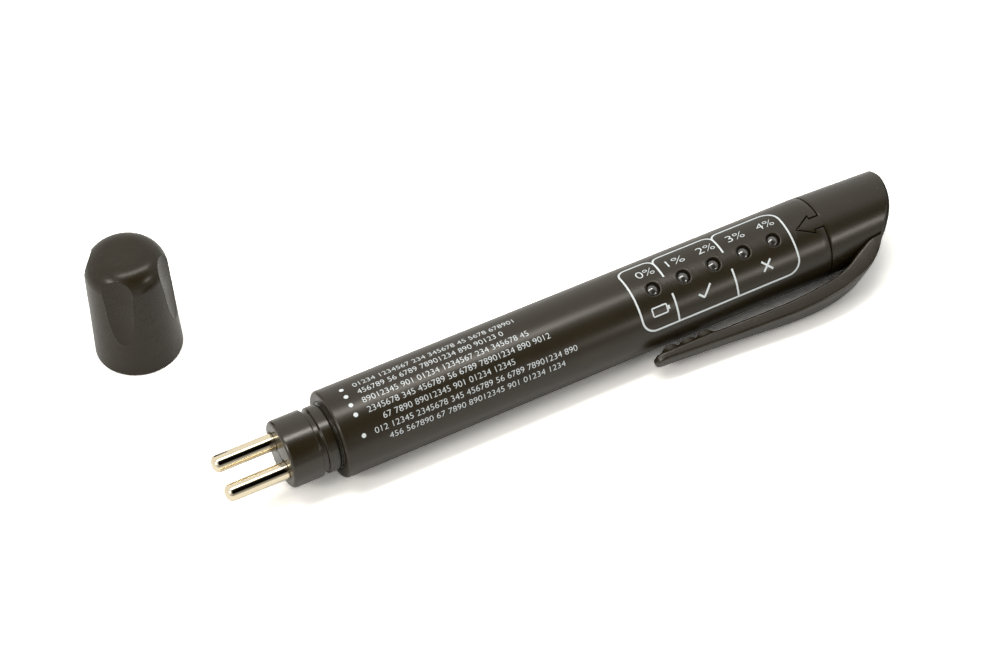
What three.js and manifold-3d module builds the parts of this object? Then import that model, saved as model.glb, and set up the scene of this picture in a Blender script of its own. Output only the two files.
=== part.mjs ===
// Pen-shaped brake fluid tester with its protective cap taken off and standing beside it.
// Millimetres, +Z up. The pen lies along X with its probes towards -X.
// Inside the pen's own group the axis is the origin line, the barrel's front face is x = 0,
// the indicator lamps face +Z and the pocket clip is on the -Y side.
import * as THREE from 'three';
import { mergeVertices } from 'three/addons/utils/BufferGeometryUtils.js';
import Module from 'manifold-3d';

const wasm = await Module();
wasm.setup();

// Clearances and cutting allowance
const fitGap = 0.3;
const lensGap = 0.15;
const overrun = 3;

// Number of sides of the round pieces
const shellSides = 64;
const capSides = 64;
const pinSides = 24;
const smallSides = 16;
const curveSteps = 24;

// Where the pen and its cap lie
const rollAngle = THREE.MathUtils.degToRad(21.3);
const capStandX = -21.45;
const capStandY = 48.7;

// Barrel; its radius follows further down from what it holds
const barrelLength = 113.3;
const barrelWall = 1.4;
const barrelRimChamfer = 0.5;
const lipLength = 2;

// Probe holder
const lipHeight = 0.45;
const noseLength = 10.65;
const noseChamfer = 0.7;
const landStep = 0.15;
const landLength = 2.9;
const grooveWidth = 1.15;
const grooveDepth = 0.7;
const reliefWidth = 0.5;
const reliefDepth = 0.45;
const noseRootLength = 9.7;
const faceLineWidth = 0.35;
const faceLineDepth = 0.35;

// Probe pins and their leads
const pinRadius = 1.8;
const pinSpacing = 6.4;
const pinReach = 23.7;
const pinTipRound = 1.3;
const pinTailRadius = 0.7;
const pinTailLength = 2.5;
const leadRadius = 0.4;
const leadRun = 4;

// Circuit board and what it carries
const boardThickness = 1;
const boardEdgeSetback = 1;
const ledRadius = 1.4;
const ledFlangeRadius = 1.65;
const ledFlangeHeight = 0.6;
const ledHeight = 4.3;
const ledRecess = 0.4;
const ledCount = 5;
const ledPitch = 7.3;
const lastLedSetback = 11.75;
const chipLength = 5;
const chipWidth = 4;
const chipHeight = 1.5;
const chipSetback = 27.35;
const resistorLength = 2;
const resistorWidth = 1.25;
const resistorHeight = 0.55;
const resistorSide = 4;
const capacitorLength = 3.2;
const capacitorWidth = 1.6;
const capacitorHeight = 1.1;
const capacitorSetback = 17.35;

// Battery, size AAA
const batteryLength = 44.5;
const batteryRadius = 5.25;
const sleeveWall = 0.25;
const nubRadius = 1.9;
const nubHeight = 0.8;
const canShoulder = 0.6;

// Battery contacts
const contactThickness = 0.4;
const frontContactWidth = 5;
const frontContactFoot = 4;
const frontContactDrop = 6.5;
const stripHeight = 2.3;
const stripTongue = 1.5;
const stripSolderLength = 8;
const stripLength = 20;
const contactPlateThickness = 0.5;
const springRadius = 2.9;
const springWire = 0.3;
const springTurns = 4;

// Tail cap, which is the battery cover
const seamGap = 0.3;
const spigotLength = 6;
const spigotWall = 1.2;
const tailShoulder = 0.05;
const tailTaper = 0.63;
const tailWall = 1.25;
const switchChamberRadius = 5.6;
const switchChamberLength = 4.2;
const webThickness = 1.2;

// Latch tongue: the arrow of the tail cap that snaps into the barrel's wall
const arrowLength = 5.7;
const arrowHeadLength = 3.45;
const arrowHeadHalfWidth = 1.92;
const arrowShaftHalfWidth = 1.2;

// The swept end of the pen: one curve runs over the end plate and on as the clip's back
const clipStandoff = 5.85;
const sweepLength = 32;
const crestSetback = 12.3;
const endPlateThickness = 0.6;
const sweepShares = [
  [1.014, -0.62],
  [1, -0.452],
  [0.985, -0.3],
  [0.941, 0.013],
  [0.909, 0.166],
  [0.881, 0.272],
  [0.853, 0.365],
  [0.823, 0.452],
  [0.759, 0.61],
  [0.672, 0.742],
  [0.594, 0.834],
  [0.509, 0.894],
  [0.391, 0.957],
  [0.26, 0.99],
  [0.125, 1],
  [0, 1],
];

// Pocket clip
const clipTipSetback = 32.3;
const clipTipOuter = 13.15;
const clipTipDepth = 2.2;
const clipTipHalfWidth = 2.2;
const clipRootHalfWidth = 5.6;
const clipRootReach = 6.5;
const clipGrip = 0.75;
const toothCount = 3;
const toothPitch = 4.1;
const toothStart = 2;
const clipInnerShares = [
  [-0.53, 0.777],
  [-0.25, 0.827],
  [0.094, 0.867],
  [0.25, 0.845],
  [0.39, 0.771],
  [0.509, 0.658],
  [0.578, 0.565],
  [0.666, 0.478],
  [0.72, 0.42],
];
const clipPlanShares = [
  [-0.5, 1],
  [-0.344, 1.12],
  [-0.188, 1.27],
  [-0.03, 1.43],
  [0.125, 1.6],
  [0.28, 1.78],
  [0.406, 1.88],
  [0.53, 2.08],
  [0.625, 2.3],
  [0.72, 2.52],
];

// Push button
const buttonRadius = 5;
const buttonRise = 1.4;
const buttonFlangeRadius = 6;
const buttonFlangeSetback = 4.8;
const stemRadius = 1.5;
const buttonTravel = 1.2;
const switchDiscRadius = 4.5;
const switchDiscThickness = 0.4;
const returnSpringRadius = 2.7;
const returnSpringWire = 0.25;
const returnSpringTurns = 4;

// Protective cap
const capHeight = 27.5;
const capRimWall = 1.95;
const capTaper = 0.7;
const capEdgeRound = 4.93;
const capMouthDepth = 11.2;
const capMouthGap = 0.15;
const capBeadHeight = 0.25;
const capBeadWidth = 0.5;
const capInnerRadius = 5.8;
const capTopWall = 2.6;
const flatCount = 4;
const flatAngle = THREE.MathUtils.degToRad(235.5);
const flatFoot = 9.1;
const flatDepth = 0.8;
const flatShares = [
  [0, 0],
  [0.06, 0.2],
  [0.21, 0.52],
  [0.42, 0.775],
  [1, 1],
];

// Sizes that follow from the ones above. The barrel just holds the lamps, board and battery.
const insideStack = ledRecess + ledHeight + boardThickness + batteryRadius * 2 + fitGap * 3;
const barrelRadius = (insideStack + barrelWall) / 2;
const boreRadius = barrelRadius - barrelWall;
const noseRadius = boreRadius - fitGap - lipHeight;
const landRadius = noseRadius - landStep;
const firstLedX = barrelLength - lastLedSetback - ledPitch * (ledCount - 1);
const boardTop = barrelRadius - ledRecess - ledHeight - fitGap;
const boardBottom = boardTop - boardThickness;
const boardHalfWidth = Math.sqrt(boreRadius ** 2 - boardTop ** 2) - fitGap;
const noseRootEnd = lipLength + fitGap + noseRootLength;
const pinTailEnd = noseRootEnd + pinTailLength;
const boardFront = pinTailEnd + fitGap + leadRun - leadRadius * 2;
const spigotStart = barrelLength - spigotLength;
const boardRear = spigotStart - boardEdgeSetback;
const batteryDrop = boardBottom - fitGap - batteryRadius;
const batteryRear = spigotStart - fitGap;
const batteryFront = batteryRear - batteryLength;
const tailStart = barrelLength + seamGap;
const tailRadius = barrelRadius - tailShoulder;
const tailEndRadius = tailRadius - tailTaper;
const spigotRadius = boreRadius - fitGap;
const spigotBore = spigotRadius - spigotWall;
const clipCrest = barrelRadius + clipStandoff;
const crestX = barrelLength - crestSetback;
const clipTipX = crestX - clipTipSetback;
const plateSetback = endPlateThickness + fitGap;

// A piece as a solid that can be joined and cut.
function solid(geometry) {
  const plain = geometry.index ? geometry.toNonIndexed() : geometry.clone();
  plain.deleteAttribute('normal');
  plain.deleteAttribute('uv');
  const merged = mergeVertices(plain, 1e-5);
  const corners = Array.from(merged.index.array);
  const triangles = [];
  for (let i = 0; i < corners.length; i += 3) {
    const [a, b, c] = corners.slice(i, i + 3);
    if (a !== b && b !== c && c !== a) triangles.push(a, b, c);
  }
  return new wasm.Manifold(new wasm.Mesh({
    numProp: 3,
    vertProperties: new Float32Array(merged.attributes.position.array),
    triVerts: new Uint32Array(triangles),
  }));
}

// The solid's surface as a geometry again.
function surface(body) {
  const mesh = body.getMesh();
  const geometry = new THREE.BufferGeometry();
  const places = new Float32Array((mesh.vertProperties.length / mesh.numProp) * 3);
  for (let i = 0; i < places.length / 3; i += 1) {
    for (let k = 0; k < 3; k += 1) places[i * 3 + k] = mesh.vertProperties[i * mesh.numProp + k];
  }
  geometry.setAttribute('position', new THREE.BufferAttribute(places, 3));
  geometry.setIndex(Array.from(mesh.triVerts));
  return geometry;
}

// A turned piece: [x, radius] pairs around the pen's axis, listed around the section.
function turned(profile, sides) {
  const points = profile.map(([x, radius]) => new THREE.Vector2(radius, x));
  if (!points[0].equals(points.at(-1))) points.push(points[0].clone());
  if (THREE.ShapeUtils.area(points) < 0) points.reverse();
  return new THREE.LatheGeometry(points, sides).rotateZ(-Math.PI / 2);
}

// A round hole's cutting shape along the pen's axis.
function drill(from, to, radius, sides) {
  return turned([[from, 0], [from, radius], [to, radius], [to, 0]], sides);
}

// An outline in the plane of x and y, extruded along z from -half to +half.
function slab(outline, half) {
  const shape = new THREE.Shape(outline.map(([x, y]) => new THREE.Vector2(x, y)));
  const geometry = new THREE.ExtrudeGeometry(shape, { depth: half * 2, bevelEnabled: false });
  return geometry.translate(0, 0, -half);
}

// A block between two corners.
function block([x0, y0, z0], [x1, y1, z1]) {
  const geometry = new THREE.BoxGeometry(x1 - x0, y1 - y0, z1 - z0);
  return geometry.translate((x0 + x1) / 2, (y0 + y1) / 2, (z0 + z1) / 2);
}

// A quarter round in a turned profile, from angle to angle, around a centre.
function arc(x, radius, round, from, to, steps) {
  return Array.from({ length: steps + 1 }, (unused, i) => {
    const angle = from + ((to - from) * i) / steps;
    return [x + round * Math.cos(angle), radius + round * Math.sin(angle)];
  });
}

// A smooth line through a few points, as [x, y] pairs.
function smooth(points, steps) {
  const curve = new THREE.SplineCurve(points.map(([x, y]) => new THREE.Vector2(x, y)));
  return curve.getPoints(steps).map((point) => [point.x, point.y]);
}

// The curve of the swept end, moved along x: [x, distance from the axis towards the clip].
function sweep(shift) {
  const points = sweepShares.map(([along, across]) => [
    crestX + along * sweepLength + shift,
    across * clipCrest,
  ]);
  return smooth(points, curveSteps * 2);
}

// Everything in front of the swept end, moved along x, as wide as the pen.
function insideSweep(shift) {
  const curve = sweep(shift).filter(([, across]) => across < clipCrest - clipStandoff / 2);
  const outline = [
    [lipLength, curve[0][1]],
    ...curve,
    [lipLength, curve.at(-1)[1]],
  ];
  return solid(slab(outline.map(([x, across]) => [x, -across]), barrelRadius + overrun));
}

// The arrow's outline, grown by a margin: tip towards -x, shaft running back over the seam.
function arrowOutline(margin, end) {
  const edge = Math.hypot(arrowHeadLength, arrowHeadHalfWidth);
  const tip = barrelLength - arrowLength;
  const barb = tip + arrowHeadLength;
  const wide = ((arrowHeadLength + margin) * arrowHeadHalfWidth + margin * edge) / arrowHeadLength;
  const shaft = arrowShaftHalfWidth + margin;
  return [
    [tip - (margin * edge) / arrowHeadHalfWidth, 0],
    [barb + margin, -wide],
    [barb + margin, -shaft],
    [end, -shaft],
    [end, shaft],
    [barb + margin, shaft],
    [barb + margin, wide],
  ];
}

// A helix around a line parallel to the pen's axis.
class Helix extends THREE.Curve {
  constructor(start, length, radius, turns, drop) {
    super();
    Object.assign(this, { start, length, radius, turns, drop });
  }

  getPoint(t, target = new THREE.Vector3()) {
    const angle = t * this.turns * Math.PI * 2;
    return target.set(
      this.start + t * this.length,
      this.radius * Math.cos(angle),
      this.drop + this.radius * Math.sin(angle),
    );
  }
}

// A round wire along a curve.
function wire(curve, radius, sides, steps) {
  const ring = Array.from({ length: sides }, (unused, i) => {
    const angle = (i / sides) * Math.PI * 2;
    return new THREE.Vector2(radius * Math.cos(angle), radius * Math.sin(angle));
  });
  return new THREE.ExtrudeGeometry(new THREE.Shape(ring), { extrudePath: curve, steps });
}

// A coil spring with 8 steps of 5 sides to a curl.
function coilSpring(from, to, radius, wireRadius, turns, drop) {
  const helix = new Helix(from + wireRadius, to - from - wireRadius * 2, radius, turns, drop);
  return wire(helix, wireRadius, 5, turns * 8);
}

// Materials
function plastic(color, roughness) {
  return () => new THREE.MeshStandardMaterial({ color, roughness, metalness: 0 });
}

function metal(color, roughness) {
  return () => new THREE.MeshStandardMaterial({ color, roughness, metalness: 1 });
}

const blackPlastic = plastic(0x2b2926, 0.48);
const buttonPlastic = plastic(0x141414, 0.4);
const nickel = metal(0xd9cfb4, 0.18);
const brass = metal(0xc8a860, 0.35);
const springSteel = metal(0xb9bcc0, 0.3);
const lens = plastic(0x8d9390, 0.12);
const laminate = plastic(0x1d5b3a, 0.55);
const moulding = plastic(0x1a1a1c, 0.6);
const ceramic = plastic(0xb8a98a, 0.7);
const tinned = metal(0xc9cbcc, 0.35);
const label = plastic(0x3c5876, 0.35);

const pen = new THREE.Group();
pen.rotation.x = rollAngle;
pen.position.z = barrelRadius;

// Names a geometry and puts it in a group as a mesh.
function add(group, name, geometry, material) {
  const mesh = new THREE.Mesh(geometry, material());
  mesh.name = name;
  group.add(mesh);
  return mesh;
}

// Barrel: a tube with an inward lip at the front, five lamp holes and the arrow's cut-out.
function barrel() {
  let body = solid(turned([
    [0, noseRadius + fitGap],
    [0, barrelRadius - barrelRimChamfer],
    [barrelRimChamfer, barrelRadius],
    [barrelLength, barrelRadius],
    [barrelLength, boreRadius],
    [lipLength, boreRadius],
    [lipLength, noseRadius + fitGap],
  ], shellSides));
  for (let i = 0; i < ledCount; i += 1) {
    const hole = drill(0, barrelRadius + overrun, ledRadius + lensGap, smallSides * 2);
    hole.rotateY(-Math.PI / 2).translate(firstLedX + i * ledPitch, 0, 0);
    body = body.subtract(solid(hole));
  }
  const cut = slab(arrowOutline(fitGap, barrelLength + overrun), barrelRadius);
  return body.subtract(solid(cut.translate(0, 0, barrelRadius + arrowShaftHalfWidth)));
}
add(pen, 'barrel', surface(barrel()), blackPlastic);

// Probe holder: the nose that carries both pins; its groove takes the protective cap's bead.
function probeHolder() {
  const groove = landLength + grooveWidth;
  let body = solid(turned([
    [-noseLength, 0],
    [-noseLength, noseRadius - noseChamfer],
    [-noseLength + noseChamfer, noseRadius],
    [-groove, noseRadius],
    [-groove, noseRadius - grooveDepth],
    [-landLength, noseRadius - grooveDepth],
    [-landLength, landRadius],
    [-reliefWidth, landRadius],
    [-reliefWidth, landRadius - reliefDepth],
    [0, landRadius - reliefDepth],
    [0, noseRadius],
    [lipLength + fitGap, noseRadius],
    [lipLength + fitGap, spigotRadius],
    [noseRootEnd, spigotRadius],
    [noseRootEnd, 0],
  ], shellSides));
  for (const side of [-1, 1]) {
    const hole = drill(-noseLength - overrun, noseRootEnd + overrun, pinRadius + fitGap, pinSides);
    body = body.subtract(solid(hole.translate(0, (side * pinSpacing) / 2, 0)));
  }
  const line = block(
    [-noseLength - overrun, -pinSpacing / 2, -faceLineWidth / 2],
    [-noseLength + faceLineDepth, pinSpacing / 2, faceLineWidth / 2],
  );
  return body.subtract(solid(line));
}
add(pen, 'probe_holder', surface(probeHolder()), blackPlastic);

// Probe pins: round-ended, each with a thinner tail for its lead.
function probePin() {
  const tip = arc(-pinReach + pinTipRound, pinRadius - pinTipRound, pinTipRound,
    Math.PI, Math.PI / 2, 5);
  return turned([
    [-pinReach, 0],
    ...tip,
    [noseRootEnd, pinRadius],
    [noseRootEnd, pinTailRadius],
    [pinTailEnd, pinTailRadius],
    [pinTailEnd, 0],
  ], pinSides);
}

// Leads: short wires from the pins' tails up to the board.
function probeLead(y) {
  const start = pinTailEnd + fitGap;
  const end = boardBottom - fitGap;
  const curve = new THREE.CubicBezierCurve3(
    new THREE.Vector3(start, y, 0),
    new THREE.Vector3(start + leadRun, y, 0),
    new THREE.Vector3(start + leadRun, y, 0),
    new THREE.Vector3(start + leadRun, y, end),
  );
  return wire(curve, leadRadius, 8, curveSteps / 2);
}

for (const [name, side] of [['left', -1], ['right', 1]]) {
  const y = (side * pinSpacing) / 2;
  add(pen, `probe_pin_${name}`, probePin().translate(0, y, 0), nickel);
  add(pen, `probe_lead_${name}`, probeLead(y), tinned);
}

// Circuit board, with the controller chip, a capacitor and a resistor beside each lamp.
add(pen, 'circuit_board', block(
  [boardFront, -boardHalfWidth, boardBottom],
  [boardRear, boardHalfWidth, boardTop],
), laminate);

function onBoard(x, y, length, width, height) {
  return block(
    [x - length / 2, y - width / 2, boardTop + fitGap],
    [x + length / 2, y + width / 2, boardTop + fitGap + height],
  );
}
add(pen, 'controller_chip', onBoard(
  firstLedX - chipSetback, 0, chipLength, chipWidth, chipHeight,
), moulding);
add(pen, 'capacitor', onBoard(
  firstLedX - capacitorSetback, 0, capacitorLength, capacitorWidth, capacitorHeight,
), ceramic);

// Indicator lamps: 3 mm light-emitting diodes, domed and standing on the board.
function led() {
  const base = boardTop + fitGap;
  const straight = base + ledHeight - ledRadius;
  return turned([
    [base, 0],
    [base, ledFlangeRadius],
    [base + ledFlangeHeight, ledFlangeRadius],
    [base + ledFlangeHeight, ledRadius],
    ...arc(straight, 0, ledRadius, Math.PI / 2, 0, 5),
  ], smallSides).rotateY(-Math.PI / 2);
}

for (let i = 0; i < ledCount; i += 1) {
  const x = firstLedX + i * ledPitch;
  add(pen, `led_${i + 1}`, led().translate(x, 0, 0), lens);
  const resistor = onBoard(x, resistorSide, resistorLength, resistorWidth, resistorHeight);
  add(pen, `led_resistor_${i + 1}`, resistor, moulding);
}

// Battery: a steel can with its positive nub to the front, inside a printed sleeve.
function batteryCell() {
  const canRadius = batteryRadius - sleeveWall - lensGap;
  const shoulder = batteryFront + nubHeight;
  return turned([
    [batteryFront, 0],
    [batteryFront, nubRadius],
    [shoulder, nubRadius],
    [shoulder, canRadius - canShoulder],
    [shoulder + canShoulder, canRadius],
    [batteryRear - canShoulder, canRadius],
    [batteryRear, canRadius - canShoulder],
    [batteryRear, 0],
  ], shellSides / 2);
}

function batterySleeve() {
  const front = batteryFront + nubHeight + canShoulder;
  const rear = batteryRear - canShoulder;
  const inner = batteryRadius - sleeveWall;
  return turned([
    [front, inner],
    [front, batteryRadius],
    [rear, batteryRadius],
    [rear, inner],
  ], shellSides / 2);
}
add(pen, 'battery_cell', batteryCell().translate(0, 0, batteryDrop), springSteel);
add(pen, 'battery_sleeve', batterySleeve().translate(0, 0, batteryDrop), label);

// Front contact: an angle strip under the board that the battery's nub presses on.
function frontContact() {
  const face = batteryFront - fitGap;
  const top = boardBottom - fitGap;
  const outline = [
    [face - frontContactFoot, top - contactThickness],
    [face - contactThickness, top - contactThickness],
    [face - contactThickness, top - frontContactDrop],
    [face, top - frontContactDrop],
    [face, top],
    [face - frontContactFoot, top],
  ];
  return slab(outline, frontContactWidth / 2).rotateX(Math.PI / 2);
}
add(pen, 'front_contact', frontContact(), brass);

// Contact strip: carries the tail switch's side of the circuit forward to the board.
function contactStrip() {
  const top = boardBottom - fitGap;
  const end = tailStart + fitGap;
  const tongueTop = top - stripHeight + stripTongue;
  const y = Math.sqrt((spigotBore - fitGap) ** 2 - tongueTop ** 2) - contactThickness / 2;
  const outline = [
    [end - stripLength, top - stripHeight],
    [end, top - stripHeight],
    [end, tongueTop],
    [end - stripLength + stripSolderLength, tongueTop],
    [end - stripLength + stripSolderLength, top],
    [end - stripLength, top],
  ];
  return slab(outline, contactThickness / 2).rotateX(Math.PI / 2).translate(0, y, 0);
}
add(pen, 'contact_strip', contactStrip(), brass);

// Contact spring and its plate: they press on the battery from inside the tail cap's spigot.
const plateFront = tailStart + fitGap * 2;
const plateRear = plateFront + contactPlateThickness;
add(pen, 'contact_spring', coilSpring(
  batteryRear + fitGap, plateFront - fitGap, springRadius, springWire, springTurns, batteryDrop,
), springSteel);
const contactPlateRadius = spigotBore - lensGap;
add(pen, 'contact_plate', drill(plateFront, plateRear, contactPlateRadius, shellSides / 2), brass);

// Tail cap: a tapered shell with a spigot, a switch chamber, a web and an end cut to the sweep.
const stepX = plateRear + fitGap;
const webFront = stepX + switchChamberLength;
const webRear = webFront + webThickness;
const sweepEnd = crestX + sweepLength;
const farEnd = sweepEnd + overrun * 2;
function tailOuter(margin) {
  return [
    [tailStart, tailRadius + margin],
    [sweepEnd, tailEndRadius + margin],
    [farEnd, tailEndRadius + margin],
  ];
}
function tailCap() {
  const shell = solid(turned([
    [spigotStart, spigotBore],
    [spigotStart, spigotRadius],
    [tailStart, spigotRadius],
    ...tailOuter(0),
    [farEnd, tailEndRadius - tailWall],
    [webRear, tailEndRadius - tailWall],
    [webRear, stemRadius + fitGap],
    [webFront, stemRadius + fitGap],
    [webFront, switchChamberRadius],
    [stepX, switchChamberRadius],
    [stepX, spigotBore],
  ], shellSides));
  return shell.intersect(insideSweep(-plateSetback));
}
add(pen, 'tail_cap', surface(tailCap()), blackPlastic);

// Latch tongue: the arrow that lies flush in the barrel's wall, springy enough to press in.
function latchTongue() {
  const arrow = slab(arrowOutline(0, tailStart - fitGap), barrelRadius);
  const wall = solid(turned([
    [spigotStart - arrowLength, boreRadius],
    [spigotStart - arrowLength, barrelRadius],
    [tailStart, barrelRadius],
    [tailStart, boreRadius],
  ], shellSides));
  const above = solid(arrow.translate(0, 0, barrelRadius + arrowShaftHalfWidth));
  return wall.intersect(above);
}
add(pen, 'latch_tongue', surface(latchTongue()), blackPlastic);

// End plate: closes the tail cap under the sweep and guides the button.
function endPlate() {
  const radius = tailEndRadius - fitGap;
  const disc = solid(drill(webRear, farEnd, radius, shellSides));
  const hole = solid(drill(webRear - overrun, farEnd + overrun, buttonRadius + fitGap, shellSides));
  const skin = insideSweep(0).subtract(insideSweep(-endPlateThickness));
  return disc.intersect(skin).subtract(hole);
}
add(pen, 'end_plate', surface(endPlate()), blackPlastic);

// Push button: a stem through the web, a flange held under the end plate and the head.
const flangeFront = crestX + sweepLength * sweepShares[3][0] - buttonFlangeSetback;
const discFront = plateRear + buttonTravel + fitGap;
const discRear = discFront + switchDiscThickness;
function pushButton() {
  const flange = solid(turned([
    [discRear + fitGap, 0],
    [discRear + fitGap, stemRadius],
    [flangeFront, stemRadius],
    [flangeFront, buttonFlangeRadius],
    [farEnd, buttonFlangeRadius],
    [farEnd, 0],
  ], shellSides / 2)).intersect(insideSweep(-plateSetback));
  const head = solid(drill(flangeFront, farEnd, buttonRadius, shellSides / 2));
  return flange.add(head.intersect(insideSweep(buttonRise)));
}
add(pen, 'push_button', surface(pushButton()), buttonPlastic);
const disc = drill(discFront, discRear, switchDiscRadius, shellSides / 2);
add(pen, 'switch_disc', disc, brass);
add(pen, 'button_spring', coilSpring(
  webRear + fitGap, flangeFront - fitGap, returnSpringRadius, returnSpringWire,
  returnSpringTurns, 0,
), springSteel);

// Pocket clip: a curved strap that leaves the tail cap and narrows to a toothed, round tip.
function clipSide() {
  const back = sweep(0).filter(([, across]) => across > clipRootReach);
  const tipOuter = [clipTipX + clipTipDepth / 2, clipTipOuter];
  const tipRound = arc(clipTipX + clipTipDepth / 2, clipTipOuter - clipTipDepth / 2,
    clipTipDepth / 2, Math.PI / 2, Math.PI * 1.5, 6);
  const valley = clipTipOuter - clipTipDepth;
  const crest = barrelRadius + clipGrip;
  const teeth = [];
  const toothSteps = 6;
  for (let i = 0; i <= toothCount * toothSteps; i += 1) {
    const phase = (i / toothSteps) * Math.PI * 2;
    const depth = ((1 - Math.cos(phase)) / 2) * (valley - crest);
    teeth.push([clipTipX + toothStart + (i / toothSteps) * toothPitch, valley - depth]);
  }
  const inner = smooth([
    [teeth.at(-1)[0], valley],
    ...clipInnerShares.map(([along, across]) => [
      crestX + along * sweepLength,
      across * clipCrest,
    ]),
  ], curveSteps);
  const outline = [...back, tipOuter, ...tipRound.slice(1), ...teeth, ...inner.slice(1)];
  return outline.map(([x, across]) => [x, -across]);
}

function clipPlan() {
  const round = arc(clipTipX + clipTipHalfWidth, 0, clipTipHalfWidth, Math.PI, Math.PI / 2, 6);
  const side = smooth([
    round.at(-1),
    ...clipPlanShares.map(([along, wide]) => [
      crestX + along * sweepLength,
      wide * clipTipHalfWidth,
    ]),
  ], curveSteps);
  const upper = [...round, ...side.slice(1), [farEnd, clipRootHalfWidth]];
  const lower = upper.slice(1).reverse().map(([x, y]) => [x, -y]);
  return [...upper, ...lower];
}

function pocketClip() {
  const side = solid(slab(clipSide(), clipRootHalfWidth + overrun));
  const plan = solid(slab(clipPlan(), clipCrest + overrun).rotateX(Math.PI / 2));
  const bed = solid(turned([
    [barrelLength, 0],
    [barrelLength, tailRadius + fitGap],
    ...tailOuter(fitGap),
    [farEnd, 0],
  ], shellSides));
  return side.intersect(plan).subtract(bed);
}
add(pen, 'pocket_clip', surface(pocketClip()), blackPlastic);

// Protective cap: a tapered cup with four finger flats, standing on its open rim.
const capMouth = noseRadius + capMouthGap;
const capRimRadius = capMouth + capRimWall;
function protectiveCap() {
  const shoulder = capHeight - capEdgeRound;
  const bead = landLength + grooveWidth / 2;
  const floor = capHeight - capTopWall;
  const topRadius = capRimRadius - capTaper;
  let cup = solid(turned([
    [0, capMouth],
    [0, capRimRadius],
    ...arc(shoulder, topRadius - capEdgeRound, capEdgeRound, Math.PI / 2, 0, 8),
    [capHeight, 0],
    [floor, 0],
    [floor, capInnerRadius],
    [capMouthDepth, capInnerRadius],
    [capMouthDepth, capMouth],
    [bead + capBeadWidth, capMouth],
    [bead, capMouth - capBeadHeight],
    [bead - capBeadWidth, capMouth],
  ], capSides));
  for (let i = 0; i < flatCount; i += 1) {
    cup = cup.subtract(solid(flatCutter().rotateX(-(i * Math.PI * 2) / flatCount)));
  }
  return cup;
}

// A finger flat's cutting shape: it bites at the foot and follows the taper to the top.
function flatCutter() {
  const run = capHeight - flatFoot;
  const taper = capTaper / (capHeight - capEdgeRound);
  const face = flatShares.map(([along, deep]) => {
    const z = flatFoot + along * run;
    return [z, capRimRadius - taper * z - deep * flatDepth];
  });
  const outline = [
    ...face,
    [capHeight, capRimRadius + overrun],
    [flatFoot, capRimRadius + overrun],
  ];
  return slab(outline, capRimRadius);
}
const cap = surface(protectiveCap()).rotateY(-Math.PI / 2);
cap.rotateZ(flatAngle - Math.PI / 2);
const capMesh = new THREE.Group();
add(capMesh, 'protective_cap', cap, blackPlastic);
capMesh.position.set(capStandX, capStandY, 0);

// The whole part, moved so that the origin is under the middle of its box.
const part = new THREE.Group();
part.add(pen, capMesh);
part.updateMatrixWorld(true);
const box = new THREE.Box3().setFromObject(part, true);
const middle = box.getCenter(new THREE.Vector3());
part.position.set(-middle.x, -middle.y, -box.min.z);
part.updateMatrixWorld(true);

export default part;
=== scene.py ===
"""A pen-shaped brake fluid tester and its protective cap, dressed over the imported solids."""
import math

import bmesh
import bpy
import numpy as np
from mathutils import Matrix, Vector


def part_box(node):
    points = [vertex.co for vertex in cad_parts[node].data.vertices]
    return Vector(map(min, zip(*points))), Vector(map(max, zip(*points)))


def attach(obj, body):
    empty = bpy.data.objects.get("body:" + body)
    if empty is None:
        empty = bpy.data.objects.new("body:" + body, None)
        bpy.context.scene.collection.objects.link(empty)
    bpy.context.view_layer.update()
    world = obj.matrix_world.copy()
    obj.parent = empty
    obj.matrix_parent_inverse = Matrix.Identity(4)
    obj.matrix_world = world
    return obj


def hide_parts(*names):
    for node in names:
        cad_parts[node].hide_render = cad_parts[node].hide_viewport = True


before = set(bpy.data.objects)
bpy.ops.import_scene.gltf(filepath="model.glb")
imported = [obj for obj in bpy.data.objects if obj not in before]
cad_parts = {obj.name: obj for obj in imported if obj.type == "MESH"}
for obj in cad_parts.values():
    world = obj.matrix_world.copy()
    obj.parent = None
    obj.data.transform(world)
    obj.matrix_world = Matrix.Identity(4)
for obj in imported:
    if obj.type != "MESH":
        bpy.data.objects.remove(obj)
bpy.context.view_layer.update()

scene = bpy.context.scene
scene.view_settings.view_transform = "Standard"


# Camera
# A long lens looks down on the pen from its probe end, 48 degrees above the table.
def placed(name, data):
    """A new object of the scene that shows the data."""
    made = bpy.data.objects.new(name, data)
    scene.collection.objects.link(made)
    return made


camera = placed("camera", bpy.data.cameras.new("camera"))
camera.data.sensor_width = 36
camera.data.lens = 80.553
camera.location = (-0.154910, -0.282318, 0.354100)
heading, tilt, level = 61.498 - 90, 90 - 48.451, 0.031
camera_turn = (
    Matrix.Rotation(math.radians(heading), 4, "Z")
    @ Matrix.Rotation(math.radians(tilt), 4, "X")
    @ Matrix.Rotation(math.radians(level), 4, "Z")
)
camera.rotation_euler = camera_turn.to_euler()
scene.camera = camera


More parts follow.
